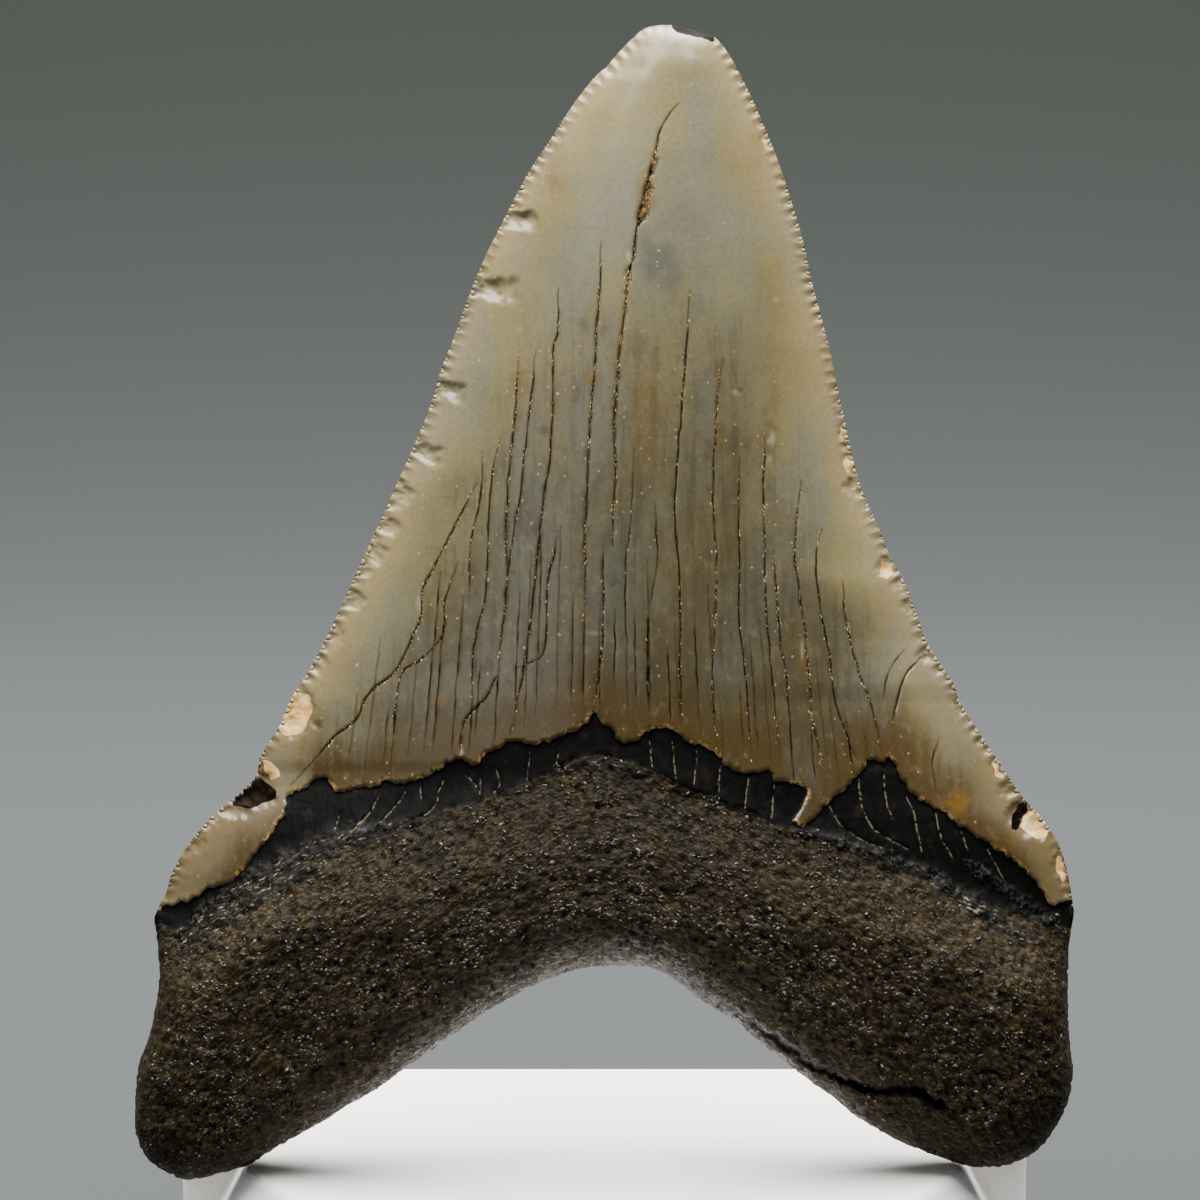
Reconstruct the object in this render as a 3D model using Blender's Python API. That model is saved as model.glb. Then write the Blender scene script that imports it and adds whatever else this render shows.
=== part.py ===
"""Fossil shark tooth leaning back on a white plinth. Metres, +Z up, the display face towards -Y."""

import math

import bmesh
import bpy
import numpy as np
from mathutils import Vector, noise
from mathutils.geometry import delaunay_2d_cdt

for leftover in list(bpy.data.objects):
    bpy.data.objects.remove(leftover, do_unlink=True)

# Driving dimensions. The tooth is laid out on a flat sheet ruled in tenths of a millimetre, across
# from its left side and down from its top. Depths off the sheet use the same unit.
SHEET_UNIT = 0.0001
SHEET_MIDDLE_ACROSS = 604.5
SHEET_CONTACT_DOWN = 1171.0
LEAN = math.radians(10.0)
RESTING_GAP = 0.0003
PLINTH_HEIGHT = 0.024
PLINTH_HALF_WIDTH = 0.043
PLINTH_BACK = 0.037
PLINTH_TOP_HALF_WIDTH = 0.0359
PLINTH_TOP_FRONT = -0.026
PLINTH_TOP_FRONT_HALF_WIDTH = 0.0209
CHAMFER_HEIGHT = 0.0129
CHAMFER_STOP = 0.008
SOFT_EDGE = 0.0007
# The middle of the whole object's depth, which the origin sits under.
DEPTH_MIDDLE = 0.00195

# The rest of the numbers are in sheet units.
SERRATION_PITCH = 12.0
SERRATION_DEPTH = 1.6
ROOT_EDGE_ROUNDING = 75.0
ROOT_SWELL_RUN = 110.0
BACK_SWELL_RUN = 40.0
LOBE_THINNING = 0.42
ENAMEL_LEDGE = 3.0
PARTING_SETBACK = 11.0
LEDGE_RUN = 9.0
TIP_BACKWARD_BEND = 13.0
THINNEST = 1.5
GRID_SPACING = 23.0
CLOSEST_POINTS = 7.5

# Cutting edges from the left heel over the tip to the right heel: (across, down).
CUTTING_EDGE = [
    (154, 918), (160, 904), (166, 893), (172, 873), (184, 851), (197, 833), (213, 815), (232, 799),
    (247, 786), (257, 773), (259, 760), (267, 745), (280, 725), (291, 699), (309, 670), (327, 636),
    (344, 600), (361, 562), (380, 522), (398, 481), (415, 443), (430, 406), (441, 370), (455, 334),
    (470, 293), (485, 257), (504, 219), (527, 175), (550, 140), (570, 109), (592, 80), (606, 67),
    (619, 52), (633, 38), (646, 28), (667, 25), (690, 29), (712, 36), (723, 46), (733, 61),
    (749, 92), (764, 126), (777, 158), (791, 200), (803, 240), (812, 282), (820, 312), (829, 345),
    (837, 385), (846, 425), (854, 463), (864, 495), (878, 526), (892, 560), (905, 583), (917, 615),
    (926, 640), (938, 660), (954, 684), (960, 702), (979, 732), (1001, 765), (1023, 797), (1041, 817),
    (1057, 841), (1065, 862), (1070, 885), (1074, 910),
]
# Root from the right heel, round the right lobe, under the arch and round the left lobe.
ROOT_EDGE = [
    (1074, 914), (1069, 945), (1068, 980), (1068, 1010), (1070, 1045), (1073, 1066), (1071, 1090),
    (1065, 1110), (1055, 1128), (1043, 1145), (1025, 1158), (1008, 1164), (990, 1167), (968, 1166),
    (947, 1160), (924, 1151), (901, 1142), (879, 1130), (856, 1116), (834, 1098), (812, 1082),
    (790, 1065), (767, 1047), (745, 1029), (723, 1014), (700, 999), (680, 983), (660, 971),
    (640, 966), (612, 966), (585, 968), (551, 978), (529, 988), (506, 1000), (484, 1013), (461, 1029),
    (439, 1045), (412, 1063), (390, 1079), (368, 1094), (345, 1107), (323, 1121), (301, 1134),
    (279, 1146), (261, 1157), (248, 1165), (232, 1170), (205, 1177), (189, 1180), (176, 1177),
    (158, 1167), (146, 1157), (138, 1140), (135, 1121), (136, 1085), (140, 1061), (148, 1040),
    (155, 1010), (159, 985), (159, 962), (157, 940), (154, 920),
]
# Lower border of the enamel on the display face, and below it the upper border of the root.
ENAMEL_BORDER = [
    (160, 906), (200, 889), (222, 886), (253, 858), (272, 830), (290, 795), (324, 777), (340, 793),
    (387, 783), (427, 777), (458, 760), (476, 766), (503, 746), (560, 736), (592, 718), (612, 736),
    (668, 728), (690, 743), (740, 771), (769, 772), (803, 787), (830, 801), (858, 776), (890, 758),
    (910, 794), (950, 816), (994, 848), (1030, 877), (1045, 895), (1068, 899),
]
ROOT_BORDER = [
    (157, 922), (190, 925), (220, 902), (254, 874), (286, 858), (326, 836), (380, 825), (436, 814),
    (492, 796), (536, 779), (581, 759), (625, 760), (670, 779), (715, 799), (794, 825), (854, 854),
    (899, 879), (944, 901), (990, 915), (1030, 927), (1070, 940),
]
BACK_BORDER = [(150, 930), (330, 905), (470, 872), (604, 858), (740, 872), (880, 905), (1076, 925)]
# A parting along the right side of the arch, with the root set back below it.
ARCH_PARTING = [
    (640, 961), (680, 978), (720, 1003), (745, 1020), (767, 1034), (790, 1044), (812, 1064),
    (834, 1075), (857, 1085), (879, 1089), (901, 1090), (924, 1093), (945, 1100),
]
PARTING_FADE = [(632, 0), (692, 1), (925, 1), (985, 0)]
# Depths of the two faces off the sheet along the middle of the tooth: (down, depth).
CROWN_FRONT = [
    (25, 17), (60, 27), (150, 41), (300, 58), (450, 72), (600, 85), (740, 97), (850, 105), (1180, 110),
]
CROWN_BACK = [(25, 12), (150, 23), (300, 31), (450, 38), (600, 44), (740, 50), (1180, 60)]
ROOT_FRONT = [(740, 104), (850, 120), (930, 130), (1010, 126), (1100, 108), (1180, 90)]
ROOT_BACK = [(740, 56), (850, 67), (950, 76), (1050, 78), (1180, 70)]
# The boss in the middle of the root: (across, down, half width, half height, height).
BOSS = (600, 890, 220, 90, 12)
# Flakes lost from the display face: (across, down, half width, half height, depth).
CHIPS = [
    (516, 222, 30, 9, 6), (488, 290, 28, 13, 7), (442, 392, 24, 10, 6), (424, 453, 20, 11, 6),
    (396, 494, 18, 11, 5), (372, 553, 17, 12, 5), (350, 600, 18, 11, 5), (858, 485, 14, 11, 6),
    (255, 800, 26, 15, 10), (1017, 816, 12, 12, 8), (692, 30, 24, 7, 8), (300, 712, 20, 26, 4),
    (1034, 825, 16, 13, 4),
]
# Lumps over the root and the crown: (size, height, seed).
ROOT_LUMPS = [(62, 3.2, 1.5), (24, 1.8, 4.5)]
BACK_LUMPS = [(70, 3.0, 8.5), (26, 1.5, 2.5)]
CROWN_LUMPS = [(110, 1.2, 6.5)]


def smooth_curve(points, step):
    """Points spaced evenly by about step on a Catmull-Rom curve through the given ones."""
    knots = np.array(points, float)
    knots = np.vstack([2 * knots[0] - knots[1], knots, 2 * knots[-1] - knots[-2]])
    dense = []
    for before, start, end, after in zip(knots[:-3], knots[1:-2], knots[2:-1], knots[3:]):
        for t in np.linspace(0, 1, 24, endpoint=False):
            square = (2 * before - 5 * start + 4 * end - after) * t**2
            cube = (3 * start - before - 3 * end + after) * t**3
            dense.append(start + 0.5 * ((end - before) * t + square + cube))
    dense = np.array(dense + [knots[-2]])
    along = np.concatenate([[0], np.cumsum(np.hypot(*np.diff(dense, axis=0).T))])
    even = np.linspace(0, along[-1], max(2, round(along[-1] / step)) + 1)
    return np.column_stack([np.interp(even, along, dense[:, axis]) for axis in (0, 1)])


def inward_normals(points):
    """Unit normals pointing into the tooth, whose outline runs clockwise on the sheet."""
    run = np.gradient(points, axis=0)
    run /= np.hypot(*run.T)[:, None]
    return np.column_stack([-run[:, 1], run[:, 0]])


def distance_to(line, across, down):
    """Distance of each point to a chain of short segments."""
    start, run = line[:-1], np.diff(line, axis=0)
    length = (run**2).sum(axis=1)
    point = np.column_stack([across, down])[:, None, :] - start[None]
    t = np.clip((point * run).sum(axis=2) / length, 0, 1)
    return np.sqrt(((point - t[..., None] * run) ** 2).sum(axis=2).min(axis=1))


def read_off(pairs, at):
    """The second value of the pairs where the first is at, between them along a straight line."""
    return np.interp(at, *np.array(pairs, float).T)


def smoothstep(value):
    value = np.clip(value, 0, 1)
    return value * value * (3 - 2 * value)


def lumps(across, down, layers):
    """Smooth lumps and hollows, the sum of layers of different sizes."""
    total = np.zeros(len(across))
    for size, height, seed in layers:
        spots = zip(across / size, down / size)
        total += height * np.array([noise.noise(Vector((x, y, seed))) for x, y in spots])
    return total


cutting = smooth_curve(CUTTING_EDGE, SERRATION_PITCH / 3)
rooting = smooth_curve(ROOT_EDGE, 14.0)
plain_outline = np.vstack([cutting, rooting[1:-1]])
closed_outline = np.vstack([plain_outline, plain_outline[:1]])


def serrated_outline():
    """The outline, with every third point of the cutting edge standing out as a serration."""
    teeth_along = np.arange(len(cutting)) / 3
    height = SERRATION_DEPTH * np.cos(2 * math.pi * teeth_along)
    height *= smoothstep(np.minimum(teeth_along, teeth_along[-1] - teeth_along) / 3)
    return np.vstack([cutting - inward_normals(cutting) * height[:, None], rooting[1:-1]])


def inside(points):
    """Whether each point is within the outline, by counting the crossings of a level line."""
    start, end = closed_outline[:-1], closed_outline[1:]
    across, down = points[:, :1], points[:, 1:]
    crosses = (start[:, 1] > down) != (end[:, 1] > down)
    drop = np.where(start[:, 1] == end[:, 1], 1, end[:, 1] - start[:, 1])
    at = start[:, 0] + (down - start[:, 1]) / drop * (end[:, 0] - start[:, 0])
    return (crosses & (across < at)).sum(axis=1) % 2 == 1


def spread_out(fixed, candidates, gap):
    """The candidates that keep at least gap from the fixed points and from each other, in order."""
    cells = {}
    for point in fixed:
        cells.setdefault((point[0] // gap, point[1] // gap), []).append(point)
    kept = []
    for point in candidates:
        column, row = point[0] // gap, point[1] // gap
        around = [(column + i, row + j) for i in (-1, 0, 1) for j in (-1, 0, 1)]
        if all(math.dist(point, other) >= gap for cell in around for other in cells.get(cell, [])):
            cells.setdefault((column, row), []).append(point)
            kept.append(point)
    return np.array(kept)


def inner_points():
    """Rows just inside the outline, rows beside the ledges, and an even grid over the rest."""
    found = []
    for line, insets in ((cutting[3:-3:2], (8,)), (cutting[6:-6:4], (22,)), (rooting[1:-1], (9, 26))):
        found += [line + inward_normals(line) * inset for inset in insets]
    for line, offsets in ((ENAMEL_BORDER, (-5, 4)), (ARCH_PARTING, (-4, 5)), (ROOT_BORDER, (0,))):
        found += [smooth_curve(line, 17.0)[1:-1] + [0, offset] for offset in offsets]
    left, top = plain_outline.min(axis=0)
    right, bottom = plain_outline.max(axis=0)
    for row, down in enumerate(np.arange(top, bottom, GRID_SPACING * math.sin(math.pi / 3))):
        across = np.arange(left + row % 2 * GRID_SPACING / 2, right, GRID_SPACING)
        found.append(np.column_stack([across, np.full(len(across), down)]))
    points = np.vstack(found)
    points = points[inside(points) & (distance_to(closed_outline, *points.T) > 6)]
    return spread_out(plain_outline, points, CLOSEST_POINTS)


def side_lines():
    """The left and the right side of the outline, each ordered from the tip downwards."""
    edge, root = np.array(CUTTING_EDGE, float), np.array(ROOT_EDGE, float)
    tip = edge[:, 1].argmin()
    right_lobe = root[: len(root) // 2, 1].argmax()
    left_lobe = root[:, 1].argmax()
    left = np.vstack([edge[tip::-1], root[:left_lobe:-1]])
    right = np.vstack([edge[tip:], root[1:right_lobe]])
    return [side[np.argsort(side[:, 1])][:, ::-1] for side in (left, right)]


def chip_depth(across, down, rim):
    total = np.zeros(len(across))
    for chip_across, chip_down, half_width, half_height, depth in CHIPS:
        reach = ((across - chip_across) / half_width) ** 2 + ((down - chip_down) / half_height) ** 2
        total += depth * np.clip(1 - reach, 0, 1) ** 0.7
    return total * np.clip(rim / 8, 0, 1)


def face_depths(across, down):
    """How far the display face and the back face stand off the middle of the sheet."""
    left, right = (read_off(line, down) for line in side_lines())
    sideways = np.clip(np.abs(2 * across - left - right) / np.maximum(right - left, 1), 0, 1)
    rim = distance_to(closed_outline, across, down)
    inner = np.clip(rim / 30, 0, 1)
    # The crown thins to a blade at its edges, and the root keeps rounded edges.
    blade = np.minimum(1 - sideways**2.1, rim / 12)
    rounded = np.sqrt(1 - (1 - np.clip(rim / ROOT_EDGE_ROUNDING, 0, 1)) ** 2)
    rounded *= 1 - LOBE_THINNING * sideways**1.8
    in_root = smoothstep((down - read_off(ROOT_BORDER, across) + 20) / ROOT_SWELL_RUN)
    behind_root = smoothstep((down - read_off(BACK_BORDER, across) + 8) / BACK_SWELL_RUN)
    front = read_off(CROWN_FRONT, down) * blade * (1 - in_root)
    front += read_off(ROOT_FRONT, down) * rounded * in_root
    back = read_off(CROWN_BACK, down) * blade * (1 - behind_root)
    back += read_off(ROOT_BACK, down) * rounded * behind_root
    boss_across, boss_down, half_width, half_height, height = BOSS
    from_boss = ((across - boss_across) / half_width) ** 2 + ((down - boss_down) / half_height) ** 2
    front += height * np.exp(-from_boss) * rounded
    # The enamel ends in a ledge over the bare band, and below the parting the root is set back.
    on_enamel = smoothstep((read_off(ENAMEL_BORDER, across) - down) / LEDGE_RUN + 0.5)
    below_parting = smoothstep((down - read_off(ARCH_PARTING, across)) / LEDGE_RUN + 0.5)
    front += ENAMEL_LEDGE * on_enamel * inner
    front -= PARTING_SETBACK * below_parting * read_off(PARTING_FADE, across) * inner
    back += ENAMEL_LEDGE * (1 - behind_root) * inner
    front += lumps(across, down, ROOT_LUMPS) * in_root * inner
    front += lumps(across, down, CROWN_LUMPS) * (1 - in_root) * inner
    back += lumps(across, down, BACK_LUMPS) * behind_root * inner
    front -= chip_depth(across, down, rim)
    return np.maximum(front, THINNEST), np.maximum(back, THINNEST)


def add_object(name, verts, faces):
    mesh = bpy.data.meshes.new(name)
    mesh.from_pydata([tuple(map(float, vert)) for vert in verts], [], faces)
    shell = bmesh.new()
    shell.from_mesh(mesh)
    bmesh.ops.recalc_face_normals(shell, faces=shell.faces)
    shell.to_mesh(mesh)
    shell.free()
    obj = bpy.data.objects.new(name, mesh)
    bpy.context.scene.collection.objects.link(obj)
    return obj


def add_material(obj, colour, roughness):
    material = bpy.data.materials.new(obj.name)
    material.use_nodes = True
    shader = material.node_tree.nodes["Principled BSDF"]
    shader.inputs["Base Color"].default_value = (*colour, 1)
    shader.inputs["Roughness"].default_value = roughness
    obj.data.materials.append(material)


def make_tooth():
    """Two faces over the same flat triangles, joined all round at the outline."""
    outline = serrated_outline()
    points = np.vstack([outline, inner_points()])
    count = len(outline)
    rim_edges = [(i, (i + 1) % count) for i in range(count)]
    made = delaunay_2d_cdt([Vector(point) for point in points.tolist()], rim_edges, [], 1, 1e-6)
    flat, triangles, sources = np.array([tuple(point) for point in made[0]]), made[2], made[3]
    on_rim = np.array([min(source) < count for source in sources])
    front, back = face_depths(*flat.T)
    bend = TIP_BACKWARD_BEND * np.clip((740 - flat[:, 1]) / 715, 0, 1) ** 2
    x = (flat[:, 0] - SHEET_MIDDLE_ACROSS) * SHEET_UNIT
    z = (SHEET_CONTACT_DOWN - flat[:, 1]) * SHEET_UNIT
    front_y = (bend - np.where(on_rim, 0, front)) * SHEET_UNIT
    back_y = (bend + np.where(on_rim, 0, back)) * SHEET_UNIT
    verts = list(zip(x, front_y, z))
    behind = {index: index for index in np.flatnonzero(on_rim)}
    for index in np.flatnonzero(~on_rim):
        behind[index] = len(verts)
        verts.append((x[index], back_y[index], z[index]))
    faces = [tuple(face) for face in triangles]
    faces += [tuple(behind[index] for index in reversed(face)) for face in triangles]
    return add_object("tooth", verts, faces)


def lower_onto_plinth(tooth):
    """Leans the tooth back and lowers it until it is just clear of the plinth's top."""
    tooth.rotation_euler = (-LEAN, 0, 0)
    heights = [
        vert.co.z * math.cos(LEAN) - vert.co.y * math.sin(LEAN)
        for vert in tooth.data.vertices
        if abs(vert.co.x) < PLINTH_TOP_HALF_WIDTH + RESTING_GAP
    ]
    tooth.location = (0, -DEPTH_MIDDLE, PLINTH_HEIGHT + RESTING_GAP - min(heights))


def make_plinth():
    """A block whose front edges are chamfered; the chamfer stops short of the back at each side."""
    wide, top_wide, stop = PLINTH_HALF_WIDTH, PLINTH_TOP_HALF_WIDTH, CHAMFER_STOP
    top_front, top_front_wide = PLINTH_TOP_FRONT, PLINTH_TOP_FRONT_HALF_WIDTH
    high, low = PLINTH_HEIGHT, PLINTH_HEIGHT - CHAMFER_HEIGHT
    spread = wide - top_wide
    slant = math.atan2(top_wide - top_front_wide, -top_front)
    side_front = -spread * math.tan(slant / 2)
    front = top_front - spread
    front_wide = top_front_wide + spread * math.tan((math.pi / 2 - slant) / 2)
    right_half = [
        (wide, PLINTH_BACK, high), (wide, stop, high), (top_wide, stop, high), (top_wide, 0, high),
        (top_front_wide, top_front, high), (wide, stop, low), (wide, side_front, low),
        (front_wide, front, low), (wide, PLINTH_BACK, 0), (wide, side_front, 0), (front_wide, front, 0),
    ]
    verts = right_half + [(-x, y, z) for x, y, z in right_half]
    mirrored = {index: index + len(right_half) for index in range(len(right_half))}
    right_faces = [(1, 5, 2), (2, 5, 6, 3), (3, 6, 7, 4), (0, 8, 9, 6, 5, 1), (6, 9, 10, 7)]
    faces = right_faces + [tuple(mirrored[index] for index in face) for face in right_faces]
    for chain in ((0, 1, 2, 3, 4), (4, 7), (7, 10), (10, 9, 8), (8, 0)):
        faces.append(chain + tuple(mirrored[index] for index in reversed(chain)))
    plinth = add_object("plinth", verts, faces)
    plinth.location = (0, -DEPTH_MIDDLE, 0)
    bevel = plinth.modifiers.new("soft_edges", "BEVEL")
    bevel.width = SOFT_EDGE
    bevel.segments = 2
    bevel.limit_method = "ANGLE"
    bevel.angle_limit = math.radians(20)
    return plinth


made_tooth = make_tooth()
lower_onto_plinth(made_tooth)
add_material(made_tooth, (0.27, 0.24, 0.18), 0.4)
add_material(make_plinth(), (0.8, 0.78, 0.75), 0.5)
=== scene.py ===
# %% [markdown]
# # A fossil shark tooth on a white plinth
#
# The real thing is one tooth of a very large extinct shark, about 94 mm wide. Enamel covers the
# crown, a bare black band lies under the enamel, and a rough brown root with two lobes carries both.
# The tooth stands with its lobes on a plain white block.
# The measured solids are loaded first. They fix every size and place, and this script only makes
# the looks around them.

# %% Load the measured solids
import math

import bmesh
import bpy
import numpy as np
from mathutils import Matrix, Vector, kdtree, noise
from mathutils.geometry import delaunay_2d_cdt


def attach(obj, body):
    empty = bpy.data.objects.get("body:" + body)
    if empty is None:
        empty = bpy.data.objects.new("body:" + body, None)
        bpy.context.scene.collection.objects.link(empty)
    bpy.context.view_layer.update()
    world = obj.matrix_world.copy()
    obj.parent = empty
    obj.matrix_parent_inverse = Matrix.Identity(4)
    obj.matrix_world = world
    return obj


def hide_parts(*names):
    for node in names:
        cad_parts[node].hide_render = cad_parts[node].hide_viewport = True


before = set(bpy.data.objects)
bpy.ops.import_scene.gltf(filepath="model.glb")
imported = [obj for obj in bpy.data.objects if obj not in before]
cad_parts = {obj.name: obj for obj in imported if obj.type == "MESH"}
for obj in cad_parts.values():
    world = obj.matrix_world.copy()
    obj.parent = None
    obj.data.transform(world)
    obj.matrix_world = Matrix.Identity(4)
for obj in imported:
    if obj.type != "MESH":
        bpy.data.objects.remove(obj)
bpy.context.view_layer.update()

MM = 0.001

# %% [markdown]
# ## The camera
#
# The tooth is laid out on a flat sheet, in tenths of a millimetre across from the left and down
# from the top of the picture, so that a place on the tooth can be compared with the photograph.
# The sheet leans back with the tooth. The camera stands square to it, because the photograph shows
# no narrowing towards the tip, and far off, as a macro lens does.

# %% Stand the camera square to the tooth
SHEET_UNIT = 0.0001
SHEET_MIDDLE_ACROSS = 604.5
SHEET_CONTACT_DOWN = 1171.0
LEAN = math.radians(10.0)
FOOT = (0.0, -0.00195, 0.0238576)
PICTURE_SIZE = 1200
CAMERA_DISTANCE = 0.45
SENSOR_WIDTH = 36.0


def stand_up(across, down, forward):
    """World places of points on the sheet that stand forward of it, in sheet units."""
    x = (np.asarray(across) - SHEET_MIDDLE_ACROSS) * SHEET_UNIT
    y = -np.asarray(forward) * SHEET_UNIT
    z = (SHEET_CONTACT_DOWN - np.asarray(down)) * SHEET_UNIT
    leaned_y = y * math.cos(LEAN) + z * math.sin(LEAN)
    leaned_z = z * math.cos(LEAN) - y * math.sin(LEAN)
    return np.column_stack([x + FOOT[0], leaned_y + FOOT[1], leaned_z + FOOT[2]])


camera_data = bpy.data.cameras.new("camera")
camera_data.sensor_width = SENSOR_WIDTH
camera_data.lens = SENSOR_WIDTH * CAMERA_DISTANCE / (PICTURE_SIZE * SHEET_UNIT)
camera = bpy.data.objects.new("camera", camera_data)
bpy.context.scene.collection.objects.link(camera)
picture_middle = PICTURE_SIZE / 2
eye = stand_up([picture_middle], [picture_middle], [CAMERA_DISTANCE / SHEET_UNIT])[0]
camera.location = eye
camera.rotation_euler = (math.pi / 2 - LEAN, 0, 0)
bpy.context.scene.camera = camera
print(f"lens {camera_data.lens:.0f} mm, {CAMERA_DISTANCE / MM:.0f} mm from the tooth")

# %% [markdown]
# ## Node sums written as Python
#
# Materials and Geometry Nodes are trees of small sums. Wired by hand they are hard to read, so one
# class wraps an output socket and turns +, -, * and / into Math nodes, and another adds every
# other kind of node.


# %% Two helpers for node trees
class Wire:
    """One output of a node. Sums on it add Math nodes to its tree."""

    def __init__(self, nodes, socket):
        self.nodes = nodes
        self.socket = socket

    def maths(self, operation, *others):
        values = dict(enumerate((self, *others)))
        return self.nodes.add("ShaderNodeMath", {"operation": operation}, values)

    def __add__(self, other):
        return self.maths("ADD", other)

    def __radd__(self, other):
        return self.maths("ADD", other)

    def __sub__(self, other):
        return self.maths("SUBTRACT", other)

    def __rsub__(self, other):
        return self.nodes.add("ShaderNodeMath", {"operation": "SUBTRACT"}, {0: other, 1: self})

    def __mul__(self, other):
        return self.maths("MULTIPLY", other)

    def __rmul__(self, other):
        return self.maths("MULTIPLY", other)

    def __truediv__(self, other):
        return self.maths("DIVIDE", other)

    def __pow__(self, other):
        return self.maths("POWER", other)

    def other(self, output):
        """Another output of the same node."""
        return Wire(self.nodes, self.socket.node.outputs[output])

    def clamped(self):
        return self.maths("MAXIMUM", 0.0).maths("MINIMUM", 1.0)

    def ramped(self, low, high):
        """0 where the value is low, 1 where it is high, and smooth in between."""
        settings = {"interpolation_type": "SMOOTHSTEP"}
        return self.nodes.add("ShaderNodeMapRange", settings, {0: self, 1: low, 2: high})


class Nodes:
    """A node tree that is being built."""

    def __init__(self, tree):
        self.tree = tree

    def feed(self, socket, value):
        if isinstance(value, Wire):
            self.tree.links.new(value.socket, socket)
        elif socket.type == "RGBA":
            socket.default_value = (*value, 1.0)
        else:
            socket.default_value = value

    def add(self, kind, settings=None, values=None, output=0):
        """A node of this kind: its settings first, then its sockets, and then one of its outputs."""
        made = self.tree.nodes.new(kind)
        for name, value in (settings or {}).items():
            setattr(made, name, value)
        for socket, value in (values or {}).items():
            self.feed(made.inputs[socket], value)
        return Wire(self, made.outputs[output])

    def mix(self, share, first, second):
        """A colour between two: the first where share is 0, the second where it is 1."""
        settings = {"data_type": "RGBA"}
        return self.add("ShaderNodeMix", settings, {0: share, 6: first, 7: second}, output=2)

    def painted(self, name, output="Fac"):
        """A value that was written on the mesh."""
        return self.add("ShaderNodeAttribute", {"attribute_name": name}, output=output)

    def stretched(self, place, scale):
        """A place with each of its three numbers scaled, which squeezes a pattern that reads it."""
        return self.add("ShaderNodeVectorMath", {"operation": "MULTIPLY"}, {0: place, 1: scale})

    def cloudy(self, place, scale, detail=3.0, roughness=0.5):
        """Noise between about 0 and 1."""
        values = {"Vector": place, "Scale": scale, "Detail": detail, "Roughness": roughness}
        return self.add("ShaderNodeTexNoise", None, values)


# The studio light is strong, to whiten the plinth, so the tooth's colours are darkened by this.
LIGHT_SHARE = 0.55


def colour(red, green, blue):
    """A display colour of 0 to 255 as the linear values that the shader takes."""
    shares = [value / 255 for value in (red, green, blue)]
    linear = [s / 12.92 if s < 0.04045 else ((s + 0.055) / 1.055) ** 2.4 for s in shares]
    return tuple(value * LIGHT_SHARE for value in linear)


def start_finish(name, roughness):
    """A new material with its shader, whose constant values are set on its own sockets."""
    material = bpy.data.materials.new(name)
    material.use_nodes = True
    nodes = Nodes(material.node_tree)
    shader = material.node_tree.nodes["Principled BSDF"]
    shader.inputs["Roughness"].default_value = roughness
    return material, nodes, shader


# %% [markdown]
# ## Floor and light
#
# The photograph has a plain grey sweep behind the tooth and a wide, soft light from above that is
# brightest on top of the plinth. A sheet of paper that curves up behind the object gives the same:
# no line where floor and wall meet.

# %% Hang the paper sweep and the lights
SWEEP_HALF_WIDTH = 1.6
SWEEP_FRONT = -1.2
SWEEP_BACK = 0.9
SWEEP_RADIUS = 0.45
SWEEP_TOP = 1.6
SWEEP_STEPS = 24


def sweep_profile():
    """(y, z) from the front of the floor, round the bend and up the wall."""
    bend_start = SWEEP_BACK - SWEEP_RADIUS
    profile = [(SWEEP_FRONT, 0.0)]
    for angle in np.linspace(0, math.pi / 2, SWEEP_STEPS):
        profile.append((bend_start + SWEEP_RADIUS * math.sin(angle), SWEEP_RADIUS * (1 - math.cos(angle))))
    return profile + [(SWEEP_BACK, SWEEP_TOP)]


def make_sweep():
    verts, faces = [], []
    for y, z in sweep_profile():
        verts += [(-SWEEP_HALF_WIDTH, y, z), (SWEEP_HALF_WIDTH, y, z)]
    for row in range(0, len(verts) - 2, 2):
        faces.append((row, row + 1, row + 3, row + 2))
    mesh = bpy.data.meshes.new("sweep")
    mesh.from_pydata(verts, [], faces)
    mesh.shade_smooth()
    sweep = bpy.data.objects.new("sweep", mesh)
    bpy.context.scene.collection.objects.link(sweep)
    return sweep


def paper():
    """Grey paper, with painted shade that makes it darker up the bend than on the floor."""
    material, nodes, shader = start_finish("paper", 0.9)
    place = nodes.add("ShaderNodeTexCoord", output="Object")
    depth = nodes.add("ShaderNodeSeparateXYZ", None, {0: place}, output="Y")
    # Painted shade: the paper's colour darkens with depth, as light falling off up the wall would.
    painted_falloff = depth.ramped(0.2, 0.82)
    tone = nodes.mix(painted_falloff, (0.047, 0.0502, 0.0525), (0.0135, 0.0158, 0.0138))
    nodes.feed(shader.inputs["Base Color"], tone)
    shader.inputs["Specular IOR Level"].default_value = 0.0
    return material


def add_lamp(name, place, aim, size, power, tint):
    lamp = bpy.data.lights.new(name, "AREA")
    lamp.shape = "RECTANGLE"
    lamp.size, lamp.size_y = size
    lamp.energy = power
    lamp.color = tint
    obj = bpy.data.objects.new(name, lamp)
    obj.location = place
    obj.rotation_euler = (Vector(aim) - Vector(place)).to_track_quat("-Z", "Y").to_euler()
    bpy.context.scene.collection.objects.link(obj)


sweep = make_sweep()
sweep.data.materials.append(paper())
add_lamp("ceiling_light", (0.0, 0.2, 0.75), (0, 0.2, 0), (1.0, 1.3), 74.0, (1.0, 0.985, 0.965))
add_lamp("window_light", (-0.35, -0.6, 0.45), (0, 0, 0.06), (0.5, 0.5), 1.1, (0.97, 0.985, 1.0))
world = bpy.data.worlds.new("room")
world.use_nodes = True
world.node_tree.nodes["Background"].inputs["Color"].default_value = (0.92, 0.96, 1.0, 1.0)
world.node_tree.nodes["Background"].inputs["Strength"].default_value = 0.1
bpy.context.scene.world = world
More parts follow.
